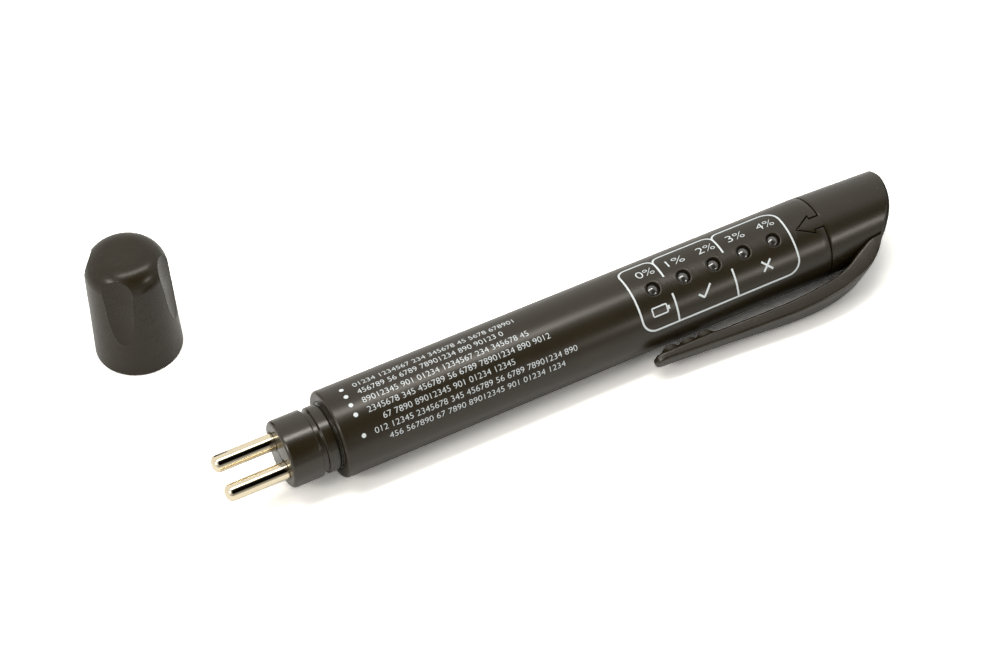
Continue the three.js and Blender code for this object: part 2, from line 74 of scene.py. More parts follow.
# Studio
# A white room with an unlit side above the camera, a strip light close overhead, a softbox low in
# front and a small one at the left. Black plastic shows them as bands, and the pins as stripes.
class Value:
    """One output of a node. Sums and products of it add Math nodes."""

    def __init__(self, tree, socket):
        self.tree, self.socket = tree, socket

    def math(self, operation, *terms):
        node = self.tree.nodes.new("ShaderNodeMath")
        node.operation = operation
        for slot, term in zip(node.inputs, terms):
            if isinstance(term, Value):
                self.tree.links.new(term.socket, slot)
            else:
                slot.default_value = term
        return Value(self.tree, node.outputs[0])

    def __add__(self, other):
        return self.math("ADD", self, other)

    def __sub__(self, other):
        return self.math("SUBTRACT", self, other)

    def __rsub__(self, other):
        return self.math("SUBTRACT", other, self)

    def __mul__(self, other):
        return self.math("MULTIPLY", self, other)

    def __truediv__(self, other):
        return self.math("DIVIDE", self, other)

    def __rtruediv__(self, other):
        return self.math("DIVIDE", other, self)

    def __abs__(self):
        return self.math("ABSOLUTE", self)

    __radd__ = __add__
    __rmul__ = __mul__

    def fract(self):
        return self.math("FRACT", self)

    def clamp(self):
        return self.math("MINIMUM", self.math("MAXIMUM", self, 0.0), 1.0)

    def ramp(self, low, high):
        """0 below low, 1 above high, straight in between; the other way round if high is below low."""
        return self.math("MULTIPLY_ADD", self, 1 / (high - low), low / (low - high)).clamp()


class Paint:
    """The nodes of a material, or of the room round the object."""

    def __init__(self, name, kind="materials"):
        self.owner = getattr(bpy.data, kind).new(name)
        self.owner.use_nodes = True
        self.tree = self.owner.node_tree
        self.tree.nodes.clear()

    def node(self, kind, inputs=None, output=0, **settings):
        """Any node: its settings first, then the values or links of its sockets."""
        made = self.tree.nodes.new(kind)
        for setting, value in settings.items():
            setattr(made, setting, value)
        for socket, value in (inputs or {}).items():
            if isinstance(value, Value):
                self.tree.links.new(value.socket, made.inputs[socket])
            else:
                made.inputs[socket].default_value = value
        return Value(self.tree, made.outputs[output]) if made.outputs else None

    def place(self, stretch=(1, 1, 1)):
        """Object coordinates, which are the row frame's metres, stretched along its axes."""
        here = self.node("ShaderNodeTexCoord", output="Object")
        return self.node("ShaderNodeMapping", {"Vector": here, "Scale": stretch})

    def along(self, axis):
        """How far along X, Y or Z of the row frame a point lies, in metres."""
        return self.node("ShaderNodeSeparateXYZ", {0: self.place()}, axis)

    def noise(self, size_mm, detail=2, stretch=(1, 1, 1)):
        """Smooth noise from 0 to 1 whose lumps are about size_mm across."""
        return self.node("ShaderNodeTexNoise", {
            "Vector": self.place(stretch), "Scale": 1000 / size_mm, "Detail": detail, "Roughness": 0.5,
        })

    def mix(self, factor, first, second):
        """The first colour at 0, the second at 1."""
        first, second = (c if isinstance(c, Value) else (*c, 1) for c in (first, second))
        return self.node("ShaderNodeMix", {0: factor, 6: first, 7: second}, 2, data_type="RGBA")

    def bump(self, height, depth_mm):
        """The surface raised by height, which runs from 0 to 1, times depth_mm."""
        return self.node("ShaderNodeBump", {"Height": height, "Distance": depth_mm / 1000, "Strength": 1.0})

    def finish(self, colour, **sockets):
        """Puts a Principled surface on the material; the sockets' names have _ for a space."""
        inputs = {name.replace("_", " "): value for name, value in sockets.items()}
        inputs["Base Color"] = colour
        surface = self.node("ShaderNodeBsdfPrincipled", inputs)
        self.node("ShaderNodeOutputMaterial", {"Surface": surface})
        return self.owner


room = Paint("room", "worlds")
scene.world = room.owner
looking = room.node("ShaderNodeTexCoord", output="Generated")


def facing(side):
    """How far a look into the room turns to a side: 1 straight at it, 0 square to it."""
    return room.node("ShaderNodeVectorMath", {0: looking, 1: side}, "Value", operation="DOT_PRODUCT")


room_level, front_level = 0.90, 0.36
front = facing((0.12, -0.99, 0)).ramp(0.2, 0.8)
unlit = facing((0.16, -0.62, 0.77)).ramp(0.80, 0.93)
seen = room.node("ShaderNodeLightPath", output="Is Camera Ray")
room_light = (1 - unlit) * (room_level - front * (room_level - front_level)) * (1 - seen) + seen
backdrop = room.node("ShaderNodeBackground", {"Color": (1, 0.985, 0.95, 1), "Strength": room_light})
room.node("ShaderNodeOutputWorld", {"Surface": backdrop})


def softbox(name, place, aim, size, radiance, tint):
    """A rectangular lamp at place that faces aim. Its power gives its face that radiance."""
    data = bpy.data.lights.new(name, "AREA")
    data.shape = "RECTANGLE"
    data.size, data.size_y = size
    data.energy = radiance * math.pi * size[0] * size[1]
    data.color = tint
    turned_to = (Vector(aim) - Vector(place)).to_track_quat("-Z", "Y")
    placed(name, data).matrix_world = Matrix.Translation(place) @ turned_to.to_matrix().to_4x4()


softbox("strip_overhead", (-0.022, -0.009, 0.222), (-0.022, -0.018, 0), (0.25, 0.038), 8.2, (1, 0.96, 0.88))
softbox("softbox_front", (0.530, -0.772, 0.345), (0.05, -0.02, 0.01), (0.26, 0.12), 11.0, (1, 0.95, 0.86))
softbox("softbox_left", (-0.453, -0.123, 0.311), (-0.05, 0.0, 0.02), (0.13, 0.10), 17.0, (1, 0.96, 0.90))

floor_half, floor_top = 3, -0.0001
floor_mesh = bpy.data.meshes.new("floor")
floor_mesh.from_pydata(
    [(x * floor_half, y * floor_half, floor_top) for x, y in ((-1, -1), (1, -1), (1, 1), (-1, 1))],
    [], [(0, 1, 2, 3)],
)
placed("floor", floor_mesh)
paper = Paint("white_paper")
to_camera, to_gloss, to_glass = (
    paper.node("ShaderNodeLightPath", output=f"Is {kind} Ray") for kind in ("Camera", "Glossy", "Transmission")
)
paper_white = paper.mix(paper.noise(1.5), (0.80, 0.80, 0.80), (0.84, 0.84, 0.84))
mirrored = paper.mix((to_gloss + to_glass).clamp(), paper_white, (0.82, 0.82, 0.82))
overexposed = paper.mix(to_camera, mirrored, (1.8, 1.8, 1.8))
matte = paper.node("ShaderNodeBsdfDiffuse", {"Color": overexposed})
paper.node("ShaderNodeOutputMaterial", {"Surface": matte})
floor_mesh.materials.append(paper.owner)


# Barrel
# A tube of black plastic, moulded with a fine satin texture. Five round holes let the lamps show,
# and an arrow-shaped cut at the seam takes the tail cap's latch. Its front edge turns in to a lip.
MM = 0.001
roll = math.radians(21.3)
low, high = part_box("barrel")
pen_front, barrel_length = low.x / MM, (high.x - low.x) / MM
pen_side, pen_height = (low.y + high.y) / 2 / MM, (low.z + high.z) / 2 / MM
barrel_radius = (high.y - low.y) / 2 / MM
bore = barrel_radius - 1.4
lip_length, lip_bore, front_round = 2.0, 7.2, 0.6
lamp_pitch, lamp_count, lamp_hole = 7.3, 5, 1.55
first_lamp = barrel_length - 11.75 - lamp_pitch * (lamp_count - 1)
arrow_tip, arrow_barb, arrow_half, shaft_half = barrel_length - 5.7, barrel_length - 2.25, 1.92, 1.2
arrow_gap = 0.28


def on_pen(x, y, z):
    """Millimetres along the pen from the barrel's front face, away from the clip and towards the
    lamps, as a place in the row frame: a turn about the pen's axis, then a shift."""
    x, y, z = np.broadcast_arrays(x, y, z)
    return np.stack([
        pen_front + x,
        pen_side + y * math.cos(roll) - z * math.sin(roll),
        pen_height + y * math.sin(roll) + z * math.cos(roll),
    ], -1) * MM


def around(x, r, angle):
    """The place x along the pen and r from its axis, at an angle from the lamps away from the clip."""
    return on_pen(x, r * np.sin(angle), r * np.cos(angle))


def shell(outer, inner, kept=None, ring=True):
    """Points and quads of a wall between two skins on one grid of rows and columns. kept says which
    cells have wall, and every edge between a cell with wall and one without is closed across."""
    rows, cols = outer.shape[:2]
    kept = np.ones((rows - 1, cols), bool) if kept is None else kept.copy()
    if not ring:
        kept[:, -1] = False
    index = np.arange(rows * cols).reshape(rows, cols)
    after = np.roll(index, -1, 1)
    cells = np.stack([index[:-1], after[:-1], after[1:], index[1:]], -1)[kept]
    above = np.vstack([np.zeros((1, cols), bool), kept])
    below = np.vstack([kept, np.zeros((1, cols), bool)])
    across = np.stack([index, after], -1)[above != below]
    along = np.stack([index[:-1], index[1:]], -1)[kept != np.roll(kept, 1, 1)]
    edges = np.vstack([across, along])
    size = rows * cols
    walls = np.stack([edges[:, 0], edges[:, 1], edges[:, 1] + size, edges[:, 0] + size], -1)
    points = np.vstack([outer.reshape(-1, 3), inner.reshape(-1, 3)])
    return points, np.vstack([cells, cells[:, ::-1] + size, walls])


def closed_mesh(name, surface):
    """A mesh of (points, quads) with its doubles merged and its faces turned outwards."""
    points, quads = surface
    mesh = bpy.data.meshes.new(name)
    mesh.from_pydata(points.tolist(), [], quads.tolist())
    work = bmesh.new()
    work.from_mesh(mesh)
    bmesh.ops.remove_doubles(work, verts=work.verts, dist=2e-7)
    bmesh.ops.dissolve_degenerate(work, edges=work.edges, dist=1e-7)
    bmesh.ops.delete(work, geom=[v for v in work.verts if not v.link_faces], context="VERTS")
    bmesh.ops.recalc_face_normals(work, faces=work.faces)
    work.to_mesh(mesh)
    work.free()
    return mesh


def piece(name, surface, body, material, nodes=(), crease=32):
    """A closed piece from (points, quads), smooth but for edges sharper than the crease angle. It
    rides on body and stands for the CAD nodes."""
    mesh = closed_mesh(name, surface)
    mesh.polygons.foreach_set("use_smooth", np.ones(len(mesh.polygons), bool))
    mesh.set_sharp_from_angle(angle=math.radians(crease))
    mesh.materials.append(material)
    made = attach(placed(name, mesh), body)
    if nodes:
        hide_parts(*nodes)
    return made


def moulded_black(name, texture=1.0, gloss=0.27, scuffs=1.0, sheen=0.5, tone=1.0):
    """Black styrene plastic: a brown-black body, a fine spark-eroded skin, and a few rubbed spots,
    hair scratches and specks of dust from handling. The shade factor darkens the body: painted shade."""
    paint = Paint(name)
    dark, light, lit, rub = (tuple(tone * part for part in colour) for colour in (
        (0.0165, 0.0122, 0.0053), (0.022, 0.0165, 0.0077), (0.040, 0.031, 0.017), (0.036, 0.029, 0.019),
    ))
    skin = paint.noise(0.48, 1)
    fine = paint.noise(0.24, 0)
    cloud = paint.noise(9, 3)
    rubbed = paint.noise(2.6, 4, (0.35, 1, 1)).ramp(0.60, 0.78) * scuffs
    hair = paint.noise(0.9, 2, (0.05, 1.6, 1.6)).ramp(0.69, 0.73) * paint.noise(6, 2).ramp(0.5, 0.6)
    dust = paint.noise(0.5, 1).ramp(0.80, 0.84)
    body = paint.mix(cloud, dark, light)
    body = paint.mix(skin.ramp(0.5, 0.8) * 0.15, body, lit)
    body = paint.mix(rubbed * 0.35, body, rub)
    colour = paint.mix(dust * 0.5, body, (0.20, 0.18, 0.15))
    rough = gloss + cloud * 0.05 + rubbed * 0.06 + hair * scuffs * 0.1
    height = skin * 0.7 + fine * 0.3
    return paint.finish(colour, Roughness=rough.clamp(), Specular_IOR_Level=sheen,
                        Normal=paint.bump(height, 0.010 * texture))


def lines_at(*groups):
    """Sorted grid lines without near doubles."""
    every = np.sort(np.concatenate([np.atleast_1d(g) for g in groups]))
    return every[np.insert(np.diff(every) > 1e-4, 0, True)]


def rounding(inside, radius):
    """How far a rounded edge has dropped at a distance inside it: a quarter circle of that radius."""
    off = np.clip(radius - inside, 0, radius)
    return radius - np.sqrt(np.maximum(radius**2 - off**2, 0))


hole_edge, hole_reach = 0.14, 2.6
beyond_hole = lamp_hole + np.array([0.03, 0.08, hole_edge, 0.3, 0.45, 0.7, 1.05])
square = np.concatenate([np.linspace(0, lamp_hole, 6), beyond_hole])
cell = np.concatenate([-square[::-1], square])
lamp_places = first_lamp + lamp_pitch * np.arange(lamp_count)
arrow_nose = arrow_tip - arrow_gap * math.hypot(arrow_barb - arrow_tip, arrow_half) / arrow_half
barb_end = arrow_barb + arrow_gap
rear_round, arrow_round = 0.12, 0.1
body_x = lines_at(
    np.linspace(front_round, first_lamp - 4, 60),
    *[place + cell for place in lamp_places],
    np.linspace(lamp_places[-1] + 3.2, arrow_nose, 6),
    np.linspace(arrow_nose, barb_end, 14), barb_end + 0.002, barb_end + 0.3, barrel_length - rear_round,
    barrel_length - 0.05, barrel_length,
)[::-1]
half_turn = math.pi * barrel_radius
far_s = np.concatenate([np.linspace(3, 8, 8), np.linspace(8.4, half_turn, 26)])
x, s = np.meshgrid(body_x, lines_at(cell, far_s, -far_s[:-1]), indexing="ij")
nearest = lamp_places[np.abs(x[..., None] - lamp_places).argmin(-1)]
ring = np.maximum(np.abs(x - nearest), np.abs(s))
round_share = np.clip((hole_reach - ring) / (hole_reach - lamp_hole), 0, 1)
pull = round_share * ring / np.maximum(np.hypot(x - nearest, s), 1e-9) + 1 - round_share
new_x, new_s = nearest + (x - nearest) * pull, s * pull
swell, swell_off, swell_width = 0.022, 0.3, 0.11
dip = rounding(ring - lamp_hole, hole_edge) - swell * np.exp(-(((ring - lamp_hole - swell_off) / swell_width) ** 2))
widest, reach = arrow_half + arrow_gap * 1.6, 6.0
half = np.where(x < barb_end + 1e-3, widest * (x - arrow_nose) / (barb_end - arrow_nose), shaft_half + arrow_gap)
narrow = np.abs(s) <= lamp_hole + 1e-6
squeezed = np.where(
    narrow, s * half / lamp_hole,
    np.sign(s) * (half + (np.abs(s) - lamp_hole) * (reach - half) / (reach - lamp_hole)),
)
arrow_zone = (x > arrow_nose - 1e-6) & (np.abs(s) < reach)
new_s = np.where(arrow_zone, squeezed, new_s)
dip += np.where(arrow_zone & ~narrow, rounding(np.abs(new_s) - half, arrow_round), 0)
dip += np.clip(x - barrel_length + rear_round, 0, None) ** 2 / 0.15
mid_s, mid_x = (s + np.roll(s, -1, 1))[:-1] / 2, (x[:-1] + x[1:]) / 2
gone = (mid_x > arrow_nose) | (np.abs(mid_x[..., None] - lamp_places) < lamp_hole).any(-1)
gone &= np.abs(mid_s) < lamp_hole
turn = np.linspace(0, math.pi / 2, 8)[1:]
front_x = np.concatenate([front_round * (1 - np.sin(turn)), [0, 0, 0.04, 0.14]])[:, None]
front_r = np.concatenate([
    barrel_radius - front_round * (1 - np.cos(turn)),
    [barrel_radius - 0.9, lip_bore + 0.14, lip_bore + 0.04, lip_bore],
])[:, None]
lip_r = np.concatenate([np.full(turn.size, bore), np.linspace(bore, lip_bore, 4)])[:, None]
angle, body_angle = s[:1] / barrel_radius, new_s / barrel_radius
barrel_skin = shell(
    np.vstack([around(new_x, barrel_radius - dip, body_angle), around(front_x, front_r, angle)]),
    np.vstack([around(new_x, bore, body_angle), around(lip_length, lip_r, angle)]),
    np.pad(~gone, ((0, front_x.size), (0, 0)), constant_values=True),
)
piece("barrel_tube", barrel_skin, "barrel", moulded_black("barrel_plastic"), ["barrel"])


# Nose
# The probe holder is a turned-looking plug of the same plastic, held in the barrel's lip. Its groove
# takes the cap's bead, and a moulding line crosses its face between the pins.
def unit(rows):
    """Each row of coordinates divided by its length."""
    return rows / np.linalg.norm(rows, axis=-1, keepdims=True)


def rounded(corners, steps=5):
    """A line through corners [x, r, radius]: an arc of that radius replaces each corner."""
    line = []
    for i, (x, r, radius) in enumerate(corners):
        here = np.array([x, r])
        if radius == 0:
            line.append(here)
            continue
        back, on = (unit(np.array(corners[k % len(corners)][:2]) - here) for k in (i - 1, i + 1))
        half = math.acos(np.clip(back @ on, -1, 1)) / 2
        middle = unit(back + on)
        centre = here + middle * radius / math.sin(half)
        sweep = np.linspace(-1, 1, steps) * (math.pi / 2 - half)
        toward = np.array([middle[1], -middle[0]]) * np.sign(back[0] * on[1] - back[1] * on[0])
        line += list(centre - radius * (np.cos(sweep)[:, None] * middle + np.sin(sweep)[:, None] * toward))
    return np.array(line)


def lattice(grid, closed=False):
    """Points and quads of a grid whose columns close round, and whose rows do too if closed."""
    rows, cols = grid.shape[:2]
    index = np.arange(rows * cols).reshape(rows, cols)
    following = np.roll(index, -1, 0) if closed else index[1:]
    start = index if closed else index[:-1]
    quads = np.stack([start, np.roll(start, -1, 1), np.roll(following, -1, 1), following], -1)
    return grid.reshape(-1, 3), quads.reshape(-1, 4)


def turned(profile, sides=96, closed=False):
    """Points and quads of a profile of [x, r] turned about the pen's axis. A closed profile is a ring."""
    angle = np.linspace(0, 2 * math.pi, sides, endpoint=False)
    return lattice(around(profile[:, 0, None], profile[:, 1, None], angle[None]), closed)


nose_r, nose_length = 7.1, 10.65
nose_profile = rounded([
    [-nose_length, 0, 0], [-nose_length, nose_r, 0.75], [-4.05, nose_r, 0.3], [-4.05, 6.4, 0.2],
    [-2.9, 6.4, 0.25], [-2.9, 6.95, 0.28], [-0.5, 6.95, 0.25], [-0.5, 6.5, 0.15], [0, 6.5, 0.12],
    [0, nose_r, 0.1], [2.3, nose_r, 0], [2.3, 7.55, 0.1], [12, 7.55, 0.2], [12, 0, 0],
], 8)
nose_plastic = moulded_black("nose_plastic", gloss=0.19, sheen=0.65)
nose = piece("nose", turned(nose_profile, 128), "barrel", nose_plastic, ["probe_holder"])


def evaluated(made):
    """The mesh that an object's modifiers or its text give."""
    bpy.context.view_layer.update()
    return bpy.data.meshes.new_from_object(made.evaluated_get(bpy.context.evaluated_depsgraph_get()))


def cut_away(made, surface):
    """Takes the closed surface out of a piece, and keeps its edges sharp."""
    cutter = placed("cutter", closed_mesh("cutter", surface))
    cut = made.modifiers.new("cut", "BOOLEAN")
    cut.operation, cut.solver, cut.object = "DIFFERENCE", "EXACT", cutter
    result = evaluated(made)
    made.modifiers.clear()
    made.data = result
    result.set_sharp_from_angle(angle=math.radians(32))
    bpy.data.objects.remove(cutter)


def shifted(surface, y=0.0, z=0.0):
    """A surface moved square to the pen: y away from the clip, and z towards the lamps."""
    points, quads = surface
    return points + on_pen(0, y, z) - on_pen(0, 0, 0), quads


def capped(grid):
    """The grid with one more row at each end, drawn together in its middle, which closes it."""
    ends = [np.broadcast_to(grid[[i]].mean(1, keepdims=True), grid[:1].shape) for i in (0, -1)]
    return np.vstack([ends[0], grid, ends[1]])


pin_r, pin_gap, pin_side = 1.8, 0.12, 3.2
socket_r, socket_end, face = pin_r + pin_gap, 13, -nose_length
socket_line = rounded([
    [face - 1, 0, 0], [face - 1, socket_r + 0.3, 0], [face, socket_r + 0.3, 0], [face + 0.3, socket_r, 0],
    [socket_end, socket_r, 0], [socket_end, 0, 0],
])
for side in (-1, 1):
    cut_away(nose, shifted(turned(socket_line, 48), side * pin_side))
line_depth, line_half = 0.3, 0.17
four_corners = np.array([[-1, -1], [1, -1], [1, 1], [-1, 1]])
line_y, line_z = (four_corners * [pin_side - 1.0, line_half]).T
cut_away(nose, lattice(capped(np.stack([on_pen(x, line_y, line_z) for x in (face - 1, face + line_depth)]))))


# Probe pins
# Two turned brass pins with round ends, nickel plated, so they show a faint warm tint, and fine
# turning marks round them. The thin tail behind each takes its soldered lead.
pin_reach, tip_round = 23.7, 1.3
pin_profile = rounded([
    [-pin_reach, 0, 0], [-pin_reach, pin_r, tip_round], [12, pin_r, 0.1], [12, 0.7, 0], [14.5, 0.7, 0.1],
    [14.5, 0, 0],
], 12)
plating = Paint("nickel_plating")
rings = plating.noise(0.16, 2, (1, 0.04, 0.04))
handling = plating.noise(1.8, 3)
tarnish = plating.noise(3.5, 3).ramp(0.5, 0.75)
plate_colour = plating.mix(tarnish * 0.5, (0.90, 0.80, 0.60), (0.80, 0.65, 0.42))
nickel = plating.finish(
    plate_colour, Metallic=1.0, Roughness=(0.06 + rings * 0.04 + handling * 0.04).clamp(),
    Normal=plating.bump(rings, 0.0012),
)
for side, name in ((-1, "left"), (1, "right")):
    pin = shifted(turned(pin_profile, 64), side * pin_side)
    piece(f"pin_{name}", pin, "barrel", nickel, [f"probe_pin_{name}"], crease=50)


# Leads
# Two short tinned copper wires, soldered to the pins' tails and bent up to the board.
def tube(path, across, radius, sides):
    """A round wire closed at its ends: rings of that radius carried along a path of points. across
    points away from the path at each of them, where each ring starts."""
    across = unit(across)
    over = np.cross(unit(np.gradient(path, axis=0)), across)
    angle = np.linspace(0, 2 * math.pi, sides, endpoint=False)[None, :, None]
    rings = np.cos(angle) * across[:, None] + np.sin(angle) * over[:, None]
    return lattice(capped(path[:, None] + radius * rings))


fit_gap, lamp_set, lamp_height, board_thick = 0.3, 0.4, 4.3, 1.0
board_top = barrel_radius - lamp_set - lamp_height - fit_gap
board_bottom = board_top - board_thick
lead_start, lead_run, lead_r = 14.8, 4.0, 0.4


def mottled(name, colours, rough, relief_mm, lumps, **sockets):
    """A surface whose colour runs between two, whose roughness is (least, spread) and whose relief is
    relief_mm deep, each after a noise of its own. lumps holds the noises as (size in mm, detail)."""
    paint = Paint(name)
    tint, gloss, grain = (paint.noise(*lump) for lump in lumps)
    return paint.finish(paint.mix(tint, *colours), Roughness=gloss * rough[1] + rough[0],
                        Normal=paint.bump(grain, relief_mm), **sockets)


tin = mottled("tinned_copper", ((0.66, 0.66, 0.64), (0.80, 0.80, 0.79)), (0.24, 0.14), 0.008,
              ((0.6, 3), (0.4, 2), (0.25, 2)), Metallic=1.0)
bend = np.linspace(0, 1, 28)
for side, name in ((-1, "left"), (1, "right")):
    path = on_pen(lead_start + lead_run * (1 - (1 - bend) ** 3), side * pin_side, (board_bottom - fit_gap) * bend**3)
    wire = tube(path, np.cross(np.gradient(path, axis=0), (0, 1, 0)), lead_r * MM, 12)
    piece(f"lead_{name}", wire, "barrel", tin, [f"probe_lead_{name}"])


# Circuit board
# A strip of glass laminate under a green solder mask, with copper tracks that show through as
# lighter lines. It carries the chip, the capacitor and a resistor beside each lamp.
def block(centre, size, corner_round, edge, steps=4):
    """A block with rounded corners and edges: its rounded outline carried from bottom to top and
    drawn in towards both, where it closes on its centre."""
    half, (x, y, z) = np.array(size) / 2, centre
    turn = np.linspace(0, math.pi / 2, steps)
    round_it = (turn + np.arange(4)[:, None] * math.pi / 2).ravel()
    outward = np.stack([np.cos(round_it), np.sin(round_it)], -1)
    corners = np.repeat([[1, 1], [-1, 1], [-1, -1], [1, -1]], steps, 0) * (half[:2] - corner_round)
    inset, drop = edge * (1 - np.sin(turn)), edge * (1 - np.cos(turn))
    insets = np.concatenate([inset, inset[::-1]])[:, None, None]
    heights = np.concatenate([drop - half[2], half[2] - drop[::-1]])[:, None]
    outline = corners + outward * (corner_round - insets)
    return lattice(capped(on_pen(outline[..., 0] + x, outline[..., 1] + y, heights + z)))


board_front, board_rear = 18.0, barrel_length - 7
board_half = math.sqrt(bore**2 - board_top**2) - fit_gap
mask = Paint("solder_mask")
stripes = abs((mask.along("Y") * 1400).fract() - 0.5).ramp(0.18, 0.15)
track = stripes * mask.noise(3.2, 0, (0.5, 1, 1)).ramp(0.47, 0.5)
cells = mask.node("ShaderNodeTexVoronoi", {"Vector": mask.place(), "Scale": 420.0, "Randomness": 1.0})
vias = cells.ramp(0.14, 0.10)
green = mask.mix(track, (0.010, 0.085, 0.040), (0.030, 0.170, 0.075))
board_colour = mask.mix(vias, green, (0.62, 0.58, 0.44))
laminate = mask.finish(
    board_colour, Roughness=0.32 + mask.noise(0.5, 2) * 0.12, Metallic=vias * 0.9,
    Normal=mask.bump(track + vias * 0.5, 0.02),
)
board_size = (board_rear - board_front, board_half * 2, board_thick)
board_centre = ((board_front + board_rear) / 2, 0, board_top - board_thick / 2)
piece("board", block(board_centre, board_size, 0.6, 0.06), "barrel", laminate, ["circuit_board"])

chip_black = mottled("chip_epoxy", ((0.012, 0.012, 0.013), (0.024, 0.024, 0.026)), (0.5, 0.2), 0.008,
                     ((0.5, 2), (0.2, 2), (0.12, 1)))
chip_x, chip_size = first_lamp - 27.35, (5, 4, 1.5)
part_base = board_top + fit_gap
piece("chip", block((chip_x, 0, part_base + chip_size[2] / 2), chip_size, 0.15, 0.12), "barrel", chip_black,
      ["controller_chip"])
leg_path = np.array([[2.02, 0.75], [2.35, 0.72], [2.5, 0.3], [2.6, -0.16], [2.75, -0.24], [3.2, -0.24]])
leg_places = (-1.905, -0.635, 0.635, 1.905)


def beside(path, offsets, closed=False):
    """Points square to a flat path: at each of its points, one for each of the offsets from it."""
    tangent = np.gradient(path, axis=0)
    if closed:
        tangent[0] = tangent[-1] = path[1] - path[-2]
    tangent = unit(tangent)
    normal = np.stack([-tangent[:, 1], tangent[:, 0]], -1)
    return path[:, None] + normal[:, None] * offsets[:, None]


def strip(path, width, thickness, place):
    """A bent strip: a rectangle of width and thickness carried square to a path, closed at both ends.
    place turns (out, along, up) into the row frame: out and up are the path's own plane."""
    across, over = (four_corners / 2 * [width, thickness]).T
    flat = beside(path, over)
    return lattice(capped(place(flat[..., 0], across, flat[..., 1])))


def gathered(surfaces):
    """Several surfaces as one, side by side in the same mesh."""
    starts = np.cumsum([0] + [len(points) for points, _ in surfaces[:-1]])
    return np.vstack([p for p, _ in surfaces]), np.vstack([q + n for (_, q), n in zip(surfaces, starts)])


legs = [
    strip(leg_path, 0.42, 0.12, lambda out, along, up: on_pen(chip_x + row + along, side * out, part_base + up))
    for side in (-1, 1) for row in leg_places
]
piece("chip_legs", gathered(legs), "barrel", tin, ())

cap_x, cap_size = first_lamp - 17.35, (3.2, 1.6, 1.1)
fired = Paint("fired_ceramic")
off_centre = abs(fired.along("X") - (pen_front + cap_x) * MM)
tinned_end = off_centre.ramp(0.0011, 0.00115)
ceramic = fired.finish(
    fired.mix(tinned_end, (0.42, 0.31, 0.19), (0.70, 0.69, 0.66)), Metallic=tinned_end,
    Roughness=0.3 + fired.noise(0.2, 2) * 0.15, Normal=fired.bump(fired.noise(0.15, 2), 0.01),
)
piece("smoothing_capacitor", block((cap_x, 0, part_base + cap_size[2] / 2), cap_size, 0.12, 0.1), "barrel", ceramic,
      ["capacitor"])

resistor_paint = Paint("resistor_glaze")
from_lamp = ((resistor_paint.along("X") / MM - (pen_front + first_lamp)) / lamp_pitch + 0.5).fract() - 0.5
ended = (abs(from_lamp) * lamp_pitch).ramp(0.62, 0.66)
resistor_black = resistor_paint.finish(
    resistor_paint.mix(ended, (0.013, 0.013, 0.015), (0.68, 0.68, 0.66)), Metallic=ended,
    Roughness=0.25 + resistor_paint.noise(0.3) * 0.1, Normal=resistor_paint.bump(resistor_paint.noise(0.2), 0.006),
)


# Lamps
# Five common 3 mm light-emitting diodes, unlit. Each is a dome of clear epoxy round a small metal
# cup with its die and the bond wire's post, and stands on the board under its hole.
lens = mottled(
    "clear_epoxy", ((0.10, 0.095, 0.085), (0.16, 0.15, 0.14)), (0.03, 0.04), 0.004, ((1.2, 2), (0.5, 2), (0.7, 2)),
    Transmission_Weight=0.75, IOR=1.56, Specular_IOR_Level=0.9, Coat_Weight=1.0, Coat_IOR=1.75, Coat_Roughness=0.07,
)
cup_metal = mottled("lamp_cup_silver", ((0.50, 0.50, 0.48), (0.72, 0.72, 0.70)), (0.22, 0.15), 0.006,
                    ((0.5, 2), (0.3, 2), (0.2, 2)), Metallic=1.0)
die_colour = mottled("lamp_die", ((0.42, 0.40, 0.30), (0.55, 0.52, 0.40)), (0.4, 0.2), 0.004,
                     ((0.1, 2), (0.1, 2), (0.08, 2)))
rim_height, dome_base, dome_height = 0.6, 3.6, 0.95
rim_r, lens_r = 1.65, 1.42
dome = np.linspace(0, math.pi / 2, 16)[1:]
lens_line = np.vstack([
    rounded([
        [0, 0, 0], [0, rim_r, 0.05], [rim_height, rim_r, 0.08], [rim_height, lens_r, 0.05], [dome_base, lens_r, 0],
    ]),
    np.stack([dome_base + dome_height * np.sin(dome), lens_r * np.cos(dome)], -1),
])
cup_line = rounded([
    [0.2, 0, 0], [0.2, 0.25, 0], [1.5, 0.25, 0.05], [2.15, 0.62, 0.04], [2.2, 0.62, 0], [1.95, 0.3, 0.05], [1.9, 0, 0],
], 4)


def upright(profile, x, sides=48):
    """A profile of [height over the lamps' foot, r] turned about a line through x towards the lamps."""
    angle = np.linspace(0, 2 * math.pi, sides, endpoint=False)[None]
    height, r = profile[:, 0, None] + part_base, profile[:, 1, None]
    return lattice(on_pen(x + r * np.cos(angle), r * np.sin(angle), height))


cup_set = -0.12
for i, x in enumerate(lamp_places, 1):
    piece(f"lamp_{i}", upright(lens_line, x), "barrel", lens, [f"led_{i}"], crease=45)
    post = block((x + 0.75, 0, part_base + 1.15), (0.4, 0.35, 1.9), 0.06, 0.05)
    cup = upright(cup_line, x + cup_set, 24)
    piece(f"lamp_frame_{i}", gathered([cup, post]), "barrel", cup_metal, ())
    die = block((x + cup_set, 0, part_base + 1.98), (0.26, 0.26, 0.14), 0.02, 0.02)
    piece(f"lamp_die_{i}", die, "barrel", die_colour, ())
    resistor = block((x, 4, part_base + 0.275), (2, 1.25, 0.55), 0.08, 0.07)
    piece(f"resistor_{i}", resistor, "barrel", resistor_black, [f"led_resistor_{i}"])


